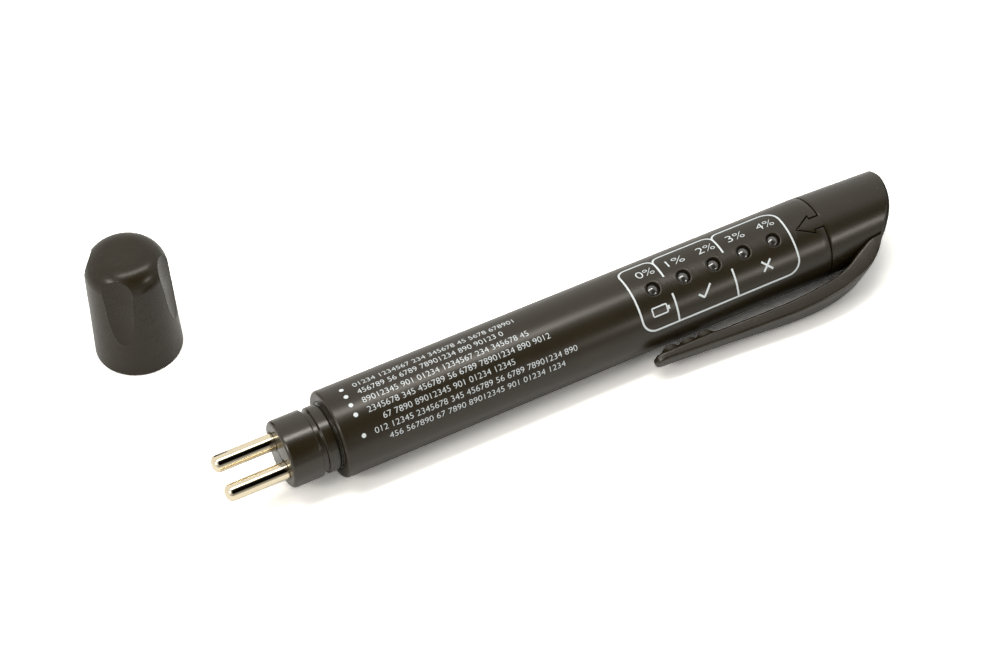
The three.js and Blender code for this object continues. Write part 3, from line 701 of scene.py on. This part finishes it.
# Printed face
# White pad-printed ink a few hundredths of a millimetre thick. A panel of three cells frames the
# lamps, with a plain scale over them and a plain sign in each cell.
ink = Paint("white_ink")
speck = ink.noise(0.10, 2)
worn = ink.noise(1.3, 4).ramp(0.66, 0.80)
ink_colour = ink.mix(worn * 0.5 + speck * 0.12, (0.70, 0.76, 0.79), (0.46, 0.48, 0.48))
white_ink = ink.finish(ink_colour, Roughness=0.42 + speck * 0.12, Normal=ink.bump(speck, 0.004))
ink_low, ink_high, ink_bevel = barrel_radius - 0.03, barrel_radius + 0.022, 0.012


def ink_line(corners, width=0.42, closed=False):
    """A printed line: a flat section carried along a line through corners [along, across, radius] on the
    unrolled barrel, every 0.25 mm or less, so that it keeps to the curved wall. across turns into an
    angle by the barrel's radius."""
    line = rounded(corners, 9)
    if closed:
        line = np.vstack([line, line[:1]])
    reach = np.concatenate([[0], np.cumsum(np.linalg.norm(np.diff(line, axis=0), axis=1))])
    every = lines_at(reach, np.arange(0, reach[-1], 0.25))
    path = np.stack([np.interp(every, reach, line[:, k]) for k in (0, 1)], -1)
    height = np.array([ink_high - ink_bevel, ink_high, ink_high, ink_high - ink_bevel, ink_low, ink_low])
    flat = beside(path, np.array([-0.5, -0.42, 0.42, 0.5, 0.5, -0.5]) * width, closed)
    grid = around(flat[..., 0], height, flat[..., 1] / barrel_radius)
    return lattice(grid[:-1], True) if closed else lattice(capped(grid))


def ink_dot(x, across, radius):
    """A printed disc on the unrolled barrel: rings from its middle out, over and back under."""
    angle = np.linspace(0, 2 * math.pi, 28, endpoint=False)
    share = np.array([0, 0.5, 0.9, 1, 1, 0.5, 0])[:, None]
    height = np.array([1, 1, 1, 0.6, 0, 0, 0])[:, None] * (ink_high - ink_low) + ink_low
    far = share * radius
    return lattice(around(x + far * np.cos(angle), height, (across + far * np.sin(angle)) / barrel_radius))


left, first_bar, second_bar, right = 67.5, 75.72, 90.1, 105.5
bottom, bar_low, bar_high, top, notch = -8.6, -2.35, 1.55, 7.45, 1.95
panel = [
    ink_line([
        [first_bar, bar_high, 0], [first_bar, top, notch], [left, top, 2.2], [left, bottom, 3.0],
        [right, bottom, 3.0], [right, top, 3.2], [second_bar, top, notch], [second_bar, top - notch, 0],
    ]),
    ink_line([
        [first_bar, top - notch, 0], [first_bar, top, notch], [second_bar, top, notch], [second_bar, bar_high, 0],
    ]),
    *(ink_line([[bar, bar_low, 0], [bar, bottom, 0]]) for bar in (first_bar, second_bar)),
]
piece("printed_panel", gathered(panel), "barrel", white_ink)

signs = [
    ink_line([[70.2, -5.6, 0.25], [70.2, -3.8, 0.25], [73.6, -3.8, 0.25], [73.6, -5.6, 0.25]], 0.3, True),
    ink_line([[74.0, -5.1, 0], [74.0, -4.3, 0]], 0.45),
    ink_line([[81.2, -4.7, 0], [82.3, -5.7, 0.1], [84.4, -3.4, 0]], 0.42),
    ink_line([[96.9, -5.6, 0], [99.1, -3.4, 0]], 0.42),
    ink_line([[96.9, -3.4, 0], [99.1, -5.6, 0]], 0.42),
]
piece("printed_signs", gathered(signs), "barrel", white_ink)


def printed_text(name, words):
    """Plain figures as ink: flat text is made a mesh, sliced across every 0.2 mm so that it can bend,
    stretched to its length and wrapped on the barrel. words is a list of (text, x where it starts, x
    where it ends, its middle across, height)."""
    whole = bmesh.new()
    for text, start, end, across, height in words:
        curve = bpy.data.curves.new("figures", "FONT")
        curve.body, curve.align_y, curve.size, curve.extrude = text, "CENTER", height / 0.72, 0.5
        curve.offset = -0.018 * height
        holder = placed("figures", curve)
        flat = evaluated(holder)
        bpy.data.objects.remove(holder)
        part = bmesh.new()
        part.from_mesh(flat)
        bmesh.ops.remove_doubles(part, verts=part.verts, dist=1e-5)
        for level in np.arange(-1.4, 1.5, 0.2):
            bmesh.ops.bisect_plane(part, geom=part.verts[:] + part.edges[:] + part.faces[:],
                                   plane_co=(0, level, 0), plane_no=(0, 1, 0))
        places = np.array([vertex.co for vertex in part.verts])
        depth = np.where(places[:, 2] > 0, ink_high, ink_low)
        share = (places[:, 0] - places[:, 0].min()) / np.ptp(places[:, 0])
        wrapped = around(start + share * (end - start), depth, (across + places[:, 1]) / barrel_radius)
        for vertex, place in zip(part.verts, wrapped):
            vertex.co = place
        part.to_mesh(flat)
        part.free()
        whole.from_mesh(flat)
    bmesh.ops.recalc_face_normals(whole, faces=whole.faces)
    mesh = bpy.data.meshes.new(name)
    whole.to_mesh(mesh)
    whole.free()
    mesh.materials.append(white_ink)
    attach(placed(name, mesh), "barrel")


printed_text("printed_scale", [
    (f"{i}%", x - 1.7, x + 2.4, 4.1, 1.95) for i, x in enumerate(lamp_places)
])

row_starts = (6.85, 6.85, 6.85, 6.95, 9.4, 6.8, 9.4)
row_ends = (42.7, 39.2, 43.8, 47.7, 38.7, 52.2, 48.9)
row_top, row_pitch, figure_pitch, figure_height = 5.75, 2.2, 0.93, 1.3
groups = (5, 7, 3, 6, 2, 4, 8, 3)
rows = []
for row, (start, end) in enumerate(zip(row_starts, row_ends)):
    figures, k, wanted = "", row * 3, (end - start) / figure_pitch
    while len(figures) < wanted:
        figures += "".join(str((row + k + n) % 10) for n in range(groups[k % len(groups)])) + " "
        k += 1
    rows.append((figures[:round(wanted)].strip(), start, end, row_top - row * row_pitch, figure_height))
printed_text("printed_rows", rows)
bullets = [ink_dot(4.35, row_top - row * row_pitch, 0.47) for row in (0, 1, 2, 3, 5)]
piece("printed_bullets", gathered(bullets), "barrel", white_ink)


# Tail cap
# The battery cover: a tapered shell of the same plastic that pushes into the barrel. A web inside
# guides the button, and its end is cut to the curve that the clip's back carries on.
def smooth_line(points, count):
    """A Catmull-Rom line through points, each stretch a cubic of its four nearest points."""
    points = np.array(points, float)
    at = np.linspace(0, len(points) - 1, count)
    i = np.minimum(at.astype(int), len(points) - 2)
    w = (at - i)[:, None]
    before, here, there, after = (points[np.clip(i + k, 0, len(points) - 1)] for k in (-1, 0, 1, 2))
    a, b = (there - before) / 2, (after - here) / 2
    return (2 * here - 2 * there + a + b) * w**3 + (3 * there - 3 * here - 2 * a - b) * w**2 + a * w + here


clip_crest, sweep_length = barrel_radius + 5.85, 32.0
crest_x = barrel_length - 12.3
sweep_shares = [
    (1.024, -0.62), (1.002, -0.452), (0.985, -0.3), (0.941, 0.013), (0.909, 0.166), (0.881, 0.272), (0.853, 0.365),
    (0.823, 0.452), (0.759, 0.61), (0.672, 0.742), (0.594, 0.834), (0.509, 0.894), (0.391, 0.957), (0.26, 0.99),
    (0.125, 1), (0, 1),
]
sweep_line = smooth_line(np.array(sweep_shares) * [sweep_length, clip_crest] + [crest_x, 0], 481)


def sweep_x(across):
    """How far along the pen the swept end lies at a distance from the axis towards the clip."""
    return np.interp(across, sweep_line[:, 1], sweep_line[:, 0])


tail_start, sweep_end = barrel_length + 0.3, crest_x + sweep_length
tail_r, tail_end_r = barrel_radius - 0.05, barrel_radius - 0.68


def tail_radius(x):
    """The tail cap's outer radius: a straight taper from the seam to the end."""
    return tail_r + (tail_end_r - tail_r) * np.clip((x - tail_start) / (sweep_end - tail_start), 0, 1)


def swept_ring(profile, sides=160):
    """A profile of [x, r, share, shift] turned about the axis. share draws a point to the swept end: 0
    leaves it at x, and 1 puts it on the end at its own distance from the axis, shifted along the pen."""
    angle = np.linspace(0, 2 * math.pi, sides, endpoint=False)
    x, r, share, shift = (np.array(profile, float)[:, k, None] for k in range(4))
    end = sweep_x(-r * np.sin(angle[None])) + shift
    return around(x + (end - x) * share, r, angle[None])


spigot_start, spigot_r, spigot_bore = barrel_length - 6, bore - 0.3, bore - 1.5
web_front, web_rear, tube_start = 118.9, 120.1, 114.75
seat_r, rim_set, seat_depth = tail_end_r - 1.25, -0.74, 0.75
tail_profile = (
    [[x, r, 0, 0] for x, r in (
        (spigot_start + 0.15, spigot_bore), (spigot_start, spigot_bore + 0.15), (spigot_start, spigot_r - 0.25),
        (spigot_start + 0.25, spigot_r), (tail_start, spigot_r), (tail_start, tail_r - 0.1),
        (tail_start + 0.03, tail_r - 0.03), (tail_start + 0.1, tail_r),
    )]
    + [[tail_start, tail_r + (tail_end_r - tail_r) * t, t, rim_set] for t in np.linspace(0, 1, 24)[1:-1]]
    + [[sweep_end, r, 1, rim_set - down] for r, down in (
        (tail_end_r + 0.02, 0.08), (tail_end_r - 0.03, 0), (tail_end_r - 0.22, 0), (tail_end_r - 0.25, 0.05),
        (tail_end_r - 0.25, seat_depth), (seat_r, seat_depth),
    )]
    + [[x, r, 0, 0] for x, r in (
        (web_rear, seat_r), (web_rear, 1.8), (web_front, 1.8), (web_front, 5.6), (tube_start, 5.6),
        (tube_start, spigot_bore),
    )]
)
tail_plastic = moulded_black("tail_plastic", texture=0.6, gloss=0.25)
tail = lattice(swept_ring(tail_profile), True)
piece("tail_shell", tail, "tail_cap", tail_plastic, ["tail_cap"])


# Latch tongue
# The arrow that the tail cap pushes into the barrel's cut-out. It is as thick as the barrel's wall,
# lies flush with it, and is pressed in to open the battery compartment.
tongue_x = np.concatenate([
    np.linspace(arrow_tip, arrow_barb, 14), [arrow_barb + 0.002], np.linspace(arrow_barb + 0.25, tail_start + 0.4, 8),
])[:, None]
tongue_half = np.where(
    tongue_x < arrow_barb + 0.001, arrow_half * (tongue_x - arrow_tip) / (arrow_barb - arrow_tip), shaft_half
)
share = np.array([-1, -0.97, -0.92, -0.85, -0.6, -0.3, 0, 0.3, 0.6, 0.85, 0.92, 0.97, 1])[None]
tongue_s = share * tongue_half
tongue_drop = rounding(tongue_half * (1 - np.abs(share)), 0.1) * (tongue_x < tail_start - 0.2)
tongue_r = np.where(tongue_x > tail_start - 0.5, tail_r + 0.004, barrel_radius) - tongue_drop
tongue = shell(*(around(tongue_x, r, tongue_s / barrel_radius) for r in (tongue_r, bore)), ring=False)
latch_plastic = moulded_black("latch_plastic", texture=0.7, gloss=0.25)
piece("latch", tongue, "tail_cap", latch_plastic, ["latch_tongue"])


# End plate
# A thin plate, slightly domed and rounded off towards its rim, snapped into the tail cap's end. Its
# rim shows as a fine line inside the cap's edge, and the button comes through its hole.
plate_r, plate_hole, plate_dome, plate_thick = tail_end_r - 0.3, 5.25, 0.12, 0.55
turn = np.linspace(0, math.pi / 2, 9)
ring_r = np.concatenate([
    plate_hole + 0.15 * (1 - np.sin(turn[::3])), np.linspace(5.5, plate_r - 0.75, 8),
    plate_r - 0.7 * (1 - np.sin(turn[1:])),
])[:, None]
over = np.concatenate([
    plate_dome - 0.15 * (1 - np.cos(turn[::3])), np.full(8, plate_dome),
    plate_dome - (plate_dome - rim_set) * (1 - np.cos(turn[1:])),
])[:, None]
angle = np.linspace(0, 2 * math.pi, 160, endpoint=False)[None]
plate = shell(*(
    around(sweep_x(-ring_r * np.sin(angle)) + level, ring_r, angle)
    for level in (over, np.minimum(over, rim_set) - plate_thick)
))
# The plate's colour is darkened well below the other black parts: painted shade at the cap's end.
plate_plastic_painted_shade = moulded_black("plate_plastic_painted_shade", texture=0.5, gloss=0.2, sheen=0.12, tone=0.4)
piece("tail_plate", plate, "tail_cap", plate_plastic_painted_shade, ["end_plate"])


# Push button
# A glossier black button whose head follows the end's curve and stands a little proud of it. Its
# colour is darkened well below the other black parts as painted shade. A flange under the end plate
# holds it in, and its stem runs through the web to the switch disc.
rise, button_r, flange_r, stem_r, button_travel, head_round = 1.4, 5.0, 6.0, 1.5, 1.2, 0.3
flange_front = crest_x + sweep_length * 0.941 - 4.8
contact_front, contact_thick, disc_gap, disc_thick = tail_start + 0.6, 0.5, 0.3, 0.4
disc_rear = contact_front + contact_thick + button_travel + disc_gap + disc_thick
head_turn = np.array([0, 0.3, 0.6, 0.9, 1.2, 1.5708])
head_edge = np.stack([button_r - head_round * (1 - np.cos(head_turn)), rise - head_round * (1 - np.sin(head_turn))], -1)
button_profile = (
    [[x, r, 0, 0] for x, r in (
        (disc_rear + 0.3, 0), (disc_rear + 0.3, stem_r - 0.15), (disc_rear + 0.45, stem_r), (flange_front, stem_r),
        (flange_front, flange_r - 0.2), (flange_front + 0.2, flange_r),
    )]
    + [[sweep_end, r, 1, shift] for r, shift in (
        (flange_r, -1.9), (flange_r - 0.2, -1.7), (button_r, -1.7), *head_edge,
        *((button_r * share, rise) for share in (0.8, 0.6, 0.4, 0.2, 0)),
    )]
)
button = lattice(swept_ring(button_profile, 96))
button_plastic = moulded_black("button_plastic", texture=0.35, gloss=0.12, scuffs=0.5, sheen=0.15, tone=0.3)
piece("button", button, "push_button", button_plastic, ["push_button"])

contact_paint = Paint("contact_brass")
contact_marks = contact_paint.noise(0.5, 3, (1, 0.15, 1))
contact_colour = contact_paint.mix(contact_paint.noise(2.2, 3), (0.70, 0.53, 0.24), (0.56, 0.40, 0.17))
brass = contact_paint.finish(
    contact_colour, Metallic=1.0, Roughness=0.24 + contact_marks * 0.16,
    Normal=contact_paint.bump(contact_marks, 0.004),
)


def disc(start, thickness, r, edge):
    """A round plate square to the pen, with its edges rounded."""
    end = start + thickness
    return turned(rounded([[start, 0, 0], [start, r, edge], [end, r, edge], [end, 0, 0]]), 64)


switch_plate = disc(disc_rear - disc_thick, disc_thick, 4.5, 0.1)
piece("switch_plate", switch_plate, "push_button", brass, ["switch_disc"])


# Springs
# Two coils of steel wire with closed end turns: one presses on the battery, one returns the button
# and is drawn at its pressed length, so that the flange never runs through it.
def coil(start, end, radius, wire, turns, drop=0.0):
    """A coil along the pen: a helix whose pitch grows from nothing over its first turn and fades again
    over its last, so that both ends lie flat, with drop as its axis's height."""
    t = np.linspace(0, 1, int(turns * 28))
    pace = np.clip(np.minimum(t, 1 - t) * turns / 0.9, 0.12, 1)
    advance = np.concatenate([[0], np.cumsum(pace[1:] + pace[:-1])])
    x = start + wire + (end - start - 2 * wire) * advance / advance[-1]
    angle = 2 * math.pi * turns * t
    path = on_pen(x, radius * np.cos(angle), drop + radius * np.sin(angle))
    return tube(path, path - on_pen(x, 0, drop), wire * MM, 10)


steel = mottled("spring_steel", ((0.50, 0.50, 0.51), (0.64, 0.64, 0.65)), (0.22, 0.14), 0.003,
                ((0.12, 2),) * 3, Metallic=1.0)
battery_r, battery_rear = 5.25, spigot_start - fit_gap
battery_drop = board_bottom - fit_gap - battery_r
battery_spring = coil(battery_rear + fit_gap, contact_front - fit_gap, radius=2.9, wire=0.3, turns=4, drop=battery_drop)
piece("battery_spring", battery_spring, "tail_cap", steel, ["contact_spring"])
return_spring = coil(web_rear + 0.3, flange_front - button_travel - 0.1, radius=2.7, wire=0.25, turns=4)
piece("return_spring", return_spring, "tail_cap", steel, ["button_spring"])
spring_plate = disc(contact_front, contact_thick, 6.2, 0.08)
piece("spring_plate", spring_plate, "tail_cap", brass, ["contact_plate"])


# Battery
# One AAA cell: a steel can with a crimped rim and a raised positive nub towards the front, in a
# printed plastic sleeve. The sleeve is plain, with a light band round its positive end.
battery_front = battery_rear - 44.5
nub_foot, can_r, sleeve_thick = battery_front + 0.8, battery_r - 0.4, 0.25
can_line = rounded([
    [battery_front, 0, 0], [battery_front, 1.9, 0.25], [nub_foot, 1.9, 0.1], [nub_foot, 3.6, 0.1],
    [battery_front + 1.0, 3.8, 0.1], [nub_foot, 4.2, 0.1], [battery_front + 0.85, can_r, 0.3],
    [battery_rear - 0.1, can_r, 0.3], [battery_rear - 0.2, 4.2, 0.1], [battery_rear, 3.6, 0.3], [battery_rear, 0, 0],
])
can = shifted(turned(can_line, 72), z=battery_drop)
piece("cell_can", can, "battery", steel, ["battery_cell"])
sleeve_start, sleeve_end = battery_front + 1.4, battery_rear - 0.6
sleeve_line = rounded([
    [sleeve_start, battery_r - sleeve_thick, 0], [sleeve_start, battery_r, 0.08], [sleeve_end, battery_r, 0.08],
    [sleeve_end, battery_r - sleeve_thick, 0],
])
film = Paint("sleeve_film")
down_cell = film.along("X")
front_band = down_cell.ramp((pen_front + battery_front + 10.5) * MM, (pen_front + battery_front + 10.3) * MM)
thin_band = abs(down_cell / MM - (pen_front + battery_front + 12.2)).ramp(0.42, 0.38)
film_colour = film.mix(front_band, (0.030, 0.070, 0.130), (0.46, 0.40, 0.27))
film_colour = film.mix(thin_band, film_colour, (0.62, 0.62, 0.60))
printed_film = film.finish(
    film_colour, Roughness=0.25 + film.noise(0.8, 2) * 0.1, Metallic=front_band * 0.6,
    Normal=film.bump(film.noise(4, 2), 0.02),
)
sleeve = shifted(turned(sleeve_line, 72, True), z=battery_drop)
piece("cell_sleeve", sleeve, "battery", printed_film, ["battery_sleeve"])


# Battery contacts
# Two strips of spring brass: an angle under the board that the nub presses on, and a long strip down
# the side that carries the switch's end of the circuit forward.
blade_rear, blade_top, bent_by = battery_front - 0.3, board_bottom - 0.3, 0.2
angle_path = rounded([
    [blade_rear - 4, blade_top - bent_by, 0], [blade_rear - bent_by, blade_top - bent_by, 0.3],
    [blade_rear - bent_by, blade_top - 6.5, 0],
], 7)
piece("front_blade", strip(angle_path, 5, 0.38, on_pen), "barrel", brass, ["front_contact"])
strip_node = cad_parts["contact_strip"]
strip_node.data.materials.clear()
strip_node.data.materials.append(brass)


# Pocket clip
# A curved strap moulded in one with the tail cap: its back carries on the swept end and it narrows to
# a round tip. Three low teeth over the middle of its width grip the cloth of a pocket, and its root
# stands just clear of the tail cap's taper, so that it can flex.
tip_x, tip_outer, tip_depth, tip_half = crest_x - 32.3, 13.15, 1.9, 2.2
tooth_start, tooth_pitch, tooth_crest = 2.0, 4.1, barrel_radius + 0.8
valley = tip_outer - tip_depth
inner_shares = (
    (-0.52, 0.756), (-0.3725, 0.768), (-0.225, 0.781), (-0.075, 0.79), (0.0156, 0.794), (0.156, 0.783),
    (0.234, 0.771), (0.317, 0.752), (0.4025, 0.722), (0.498, 0.652), (0.578, 0.565), (0.666, 0.478), (0.72, 0.42),
)
plan_shares = (
    (-0.5, 1), (-0.344, 1.12), (-0.188, 1.27), (-0.03, 1.43), (0.125, 1.6), (0.28, 1.78), (0.406, 1.90),
    (0.53, 2.14), (0.625, 2.42), (0.72, 2.72),
)
teeth_end = tip_x + tooth_start + 3 * tooth_pitch
inner_line = smooth_line(
    [(teeth_end, valley)] + [(crest_x + a * sweep_length, c * clip_crest) for a, c in inner_shares], 240
)
plan_line = smooth_line(
    [(tip_x + tip_half, tip_half)] + [(crest_x + a * sweep_length, w * tip_half) for a, w in plan_shares], 240
)
blend_from, crown, flex_gap = 12.5, 0.12, 0.07
root_share = np.clip((blend_from - sweep_line[:, 1]) / (blend_from - tail_end_r), 0, 1)
back_line = sweep_line + np.stack([rim_set * root_share**2 * (3 - 2 * root_share), 0 * root_share], -1)
back_line = back_line[back_line[:, 1] > 4][::-1]


def clip_back(x):
    """Height of the strap's back over the pen's axis: the tip's round, a straight run, then the sweep,
    drawn in at the root until it lies flush with the tail cap's end."""
    back = np.interp(x, np.append(tip_x + tip_depth / 2, back_line[:, 0]), np.append(tip_outer, back_line[:, 1]))
    return back - rounding(x - tip_x, tip_depth / 2)


def clip_belly(x, v):
    """Height of the strap's inner side: the tip's round, then three round teeth over the middle of its
    width, |sin| to the power 0.7, and the shallow hollow up to the root. v is -1 and 1 at its sides."""
    phase = np.clip((x - tip_x - tooth_start) / tooth_pitch, 0, 3) * math.pi
    middle = np.clip((0.80 - np.abs(v)) / 0.14, 0, 1)
    teeth = np.abs(np.sin(phase)) ** 0.7 * middle**2 * (3 - 2 * middle) * (valley - tooth_crest)
    belly = np.where(x < teeth_end, valley, np.interp(x, inner_line[:, 0], inner_line[:, 1])) - teeth
    return belly + rounding(x - tip_x, tip_depth / 2)


def clip_half(x):
    """Half the strap's width: a half circle at the tip, then a line that widens to the root."""
    return np.interp(x, plan_line[:, 0], plan_line[:, 1]) - rounding(x - tip_x, tip_half)


def clip_bed(x, w):
    """Height of the tail cap's skin under the strap, with the clearance that it needs to flex."""
    bed = np.sqrt(np.maximum((tail_radius(x) + flex_gap) ** 2 - w**2, 0))
    return np.where(x > tail_start, bed, 0)


v = np.sin(np.linspace(-1, 1, 41) * math.pi / 2)
v = np.sign(v) * (1 - (1 - np.abs(v)) ** 1.3)
run = np.linspace(crest_x + 10, crest_x + sweep_length * 0.995, 900)[:, None]
met = clip_back(run) - clip_bed(run, v[None] * clip_half(run)) > 0.02
end_x = run[met.shape[0] - 1 - met[::-1].argmax(0), 0]
u = np.concatenate([
    (1 - np.cos(np.linspace(0, math.pi / 2, 14))) * 0.05, np.linspace(0.055, 0.97, 210),
    [0.98, 0.988, 0.994, 0.998, 1],
])
clip_x = tip_x + u[:, None] * (end_x - tip_x)[None]
clip_w = v[None] * clip_half(clip_x)
crowned = np.clip(np.minimum((end_x - clip_x) / 14, clip_x - tip_x), 0, 1)
back = clip_back(clip_x) - crown * (v**2)[None] * crowned
belly = np.minimum(np.maximum(clip_belly(clip_x, v[None]), clip_bed(clip_x, clip_w)), back)
round_by = np.minimum(0.55, (back - belly) * 0.46)
lost = rounding(clip_half(clip_x) * (1 - np.abs(v))[None], round_by)
strap = shell(on_pen(clip_x, -(back - lost), clip_w), on_pen(clip_x, -(belly + lost), clip_w), ring=False)
clip_plastic = moulded_black("clip_plastic", texture=0.4, gloss=0.20, sheen=0.7)
piece("clip", strap, "pocket_clip", clip_plastic, ["pocket_clip"], crease=40)


# Protective cap
# A tapered cup of the same plastic, standing on its open end. Four shallow finger hollows run up
# its sides, and a small bead inside its mouth snaps into the nose's groove.
low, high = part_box("protective_cap")
cap_middle = np.array([(low.x + high.x) / 2, (low.y + high.y) / 2, 0]) / MM
cap_height = (high.z - low.z) / MM
mouth_edge, cap_taper, edge_round, foot_round = 9.2, 0.7, 4.93, 0.15
mouth_r, mouth_depth, hollow_r, hollow_top = 7.25, 11.2, 5.8, cap_height - 2.6
flat_foot, flat_depth, flat_turn, flat_hollow = 9.1, 1.05, math.radians(235.5), 0.05
shoulder = cap_height - edge_round
top_r = mouth_edge - cap_taper
foot_turn = np.linspace(0, math.pi / 2, 5)
wall_z = np.concatenate([foot_round * (1 - np.cos(foot_turn)), np.linspace(0.5, shoulder, 90)])
wall_r = mouth_edge - cap_taper * wall_z / shoulder
wall_r[:foot_turn.size] -= foot_round * (1 - np.sin(foot_turn))
dome = np.linspace(0, math.pi / 2, 34)[1:]
flat_top = np.linspace(top_r - edge_round, 0, 8)[1:]
outer_z = np.concatenate([wall_z, shoulder + edge_round * np.sin(dome), np.full(flat_top.size, cap_height)])[:, None]
outer_r = np.concatenate([wall_r, top_r - edge_round * (1 - np.cos(dome)), flat_top])[:, None]
flat_line = smooth_line([(0, 0), (0.06, 0.2), (0.21, 0.52), (0.42, 0.775), (1, 1)], 200)
deep = flat_depth * np.interp((outer_z - flat_foot) / (cap_height - flat_foot), flat_line[:, 0], flat_line[:, 1])
deep += 0.4 * np.clip((outer_z - 20) / 6.5, 0, 1)
flat_r = mouth_edge - cap_taper * outer_z / shoulder - deep + np.clip(flat_foot - outer_z, 0, None) * 0.5
flat_r = np.where(outer_z > flat_foot - 1.5, flat_r, 99)
cap_sides, blend, ridge, ridge_width = 384, 0.05, 0.05, 0.12
phi = np.linspace(0, 2 * math.pi, cap_sides, endpoint=False)[None]
quarter = math.pi / 2
off_flat = (phi - flat_turn + quarter / 2) % quarter - quarter / 2
bent = np.cos(off_flat) ** 2 - 4 * flat_hollow * np.sin(off_flat) ** 2 * flat_r
plane_r = 2 * flat_r / (np.cos(off_flat) + np.sqrt(np.maximum(bent, 0)))
apart = np.abs(outer_r - plane_r)
softened = np.minimum(outer_r, plane_r) - np.clip(blend - apart, 0, blend) ** 2 / (4 * blend)
softened += ridge * np.exp(-((apart / ridge_width) ** 2))
skin_r = np.where(outer_r > 0.01, np.maximum(softened, 0), 0)
inner = rounded([
    [hollow_top, 0, 0], [hollow_top, hollow_r, 0.5], [mouth_depth, hollow_r, 0.2], [mouth_depth, mouth_r, 0.2],
    [4.0, mouth_r, 0.1], [3.475, mouth_r - 0.25, 0.15], [2.95, mouth_r, 0.1], [0, mouth_r, 0.2],
])
cup_z = np.vstack([outer_z, inner[:, :1]]) + 0 * phi
cup_r = np.vstack([skin_r, inner[:, 1:] + 0 * phi])
cup_x, cup_y = cap_middle[0] + cup_r * np.cos(phi), cap_middle[1] + cup_r * np.sin(phi)
points, quads = lattice(np.stack([cup_x, cup_y, cup_z], -1) * MM, True)
apex = len(outer_z) - 1
quads = quads[quads[:, 0] // cap_sides != apex]
cap_plastic = moulded_black("cap_plastic", texture=0.35, gloss=0.25, sheen=0.36)
piece("cap_cup", (points, quads), "protective_cap", cap_plastic, ["protective_cap"], crease=40)
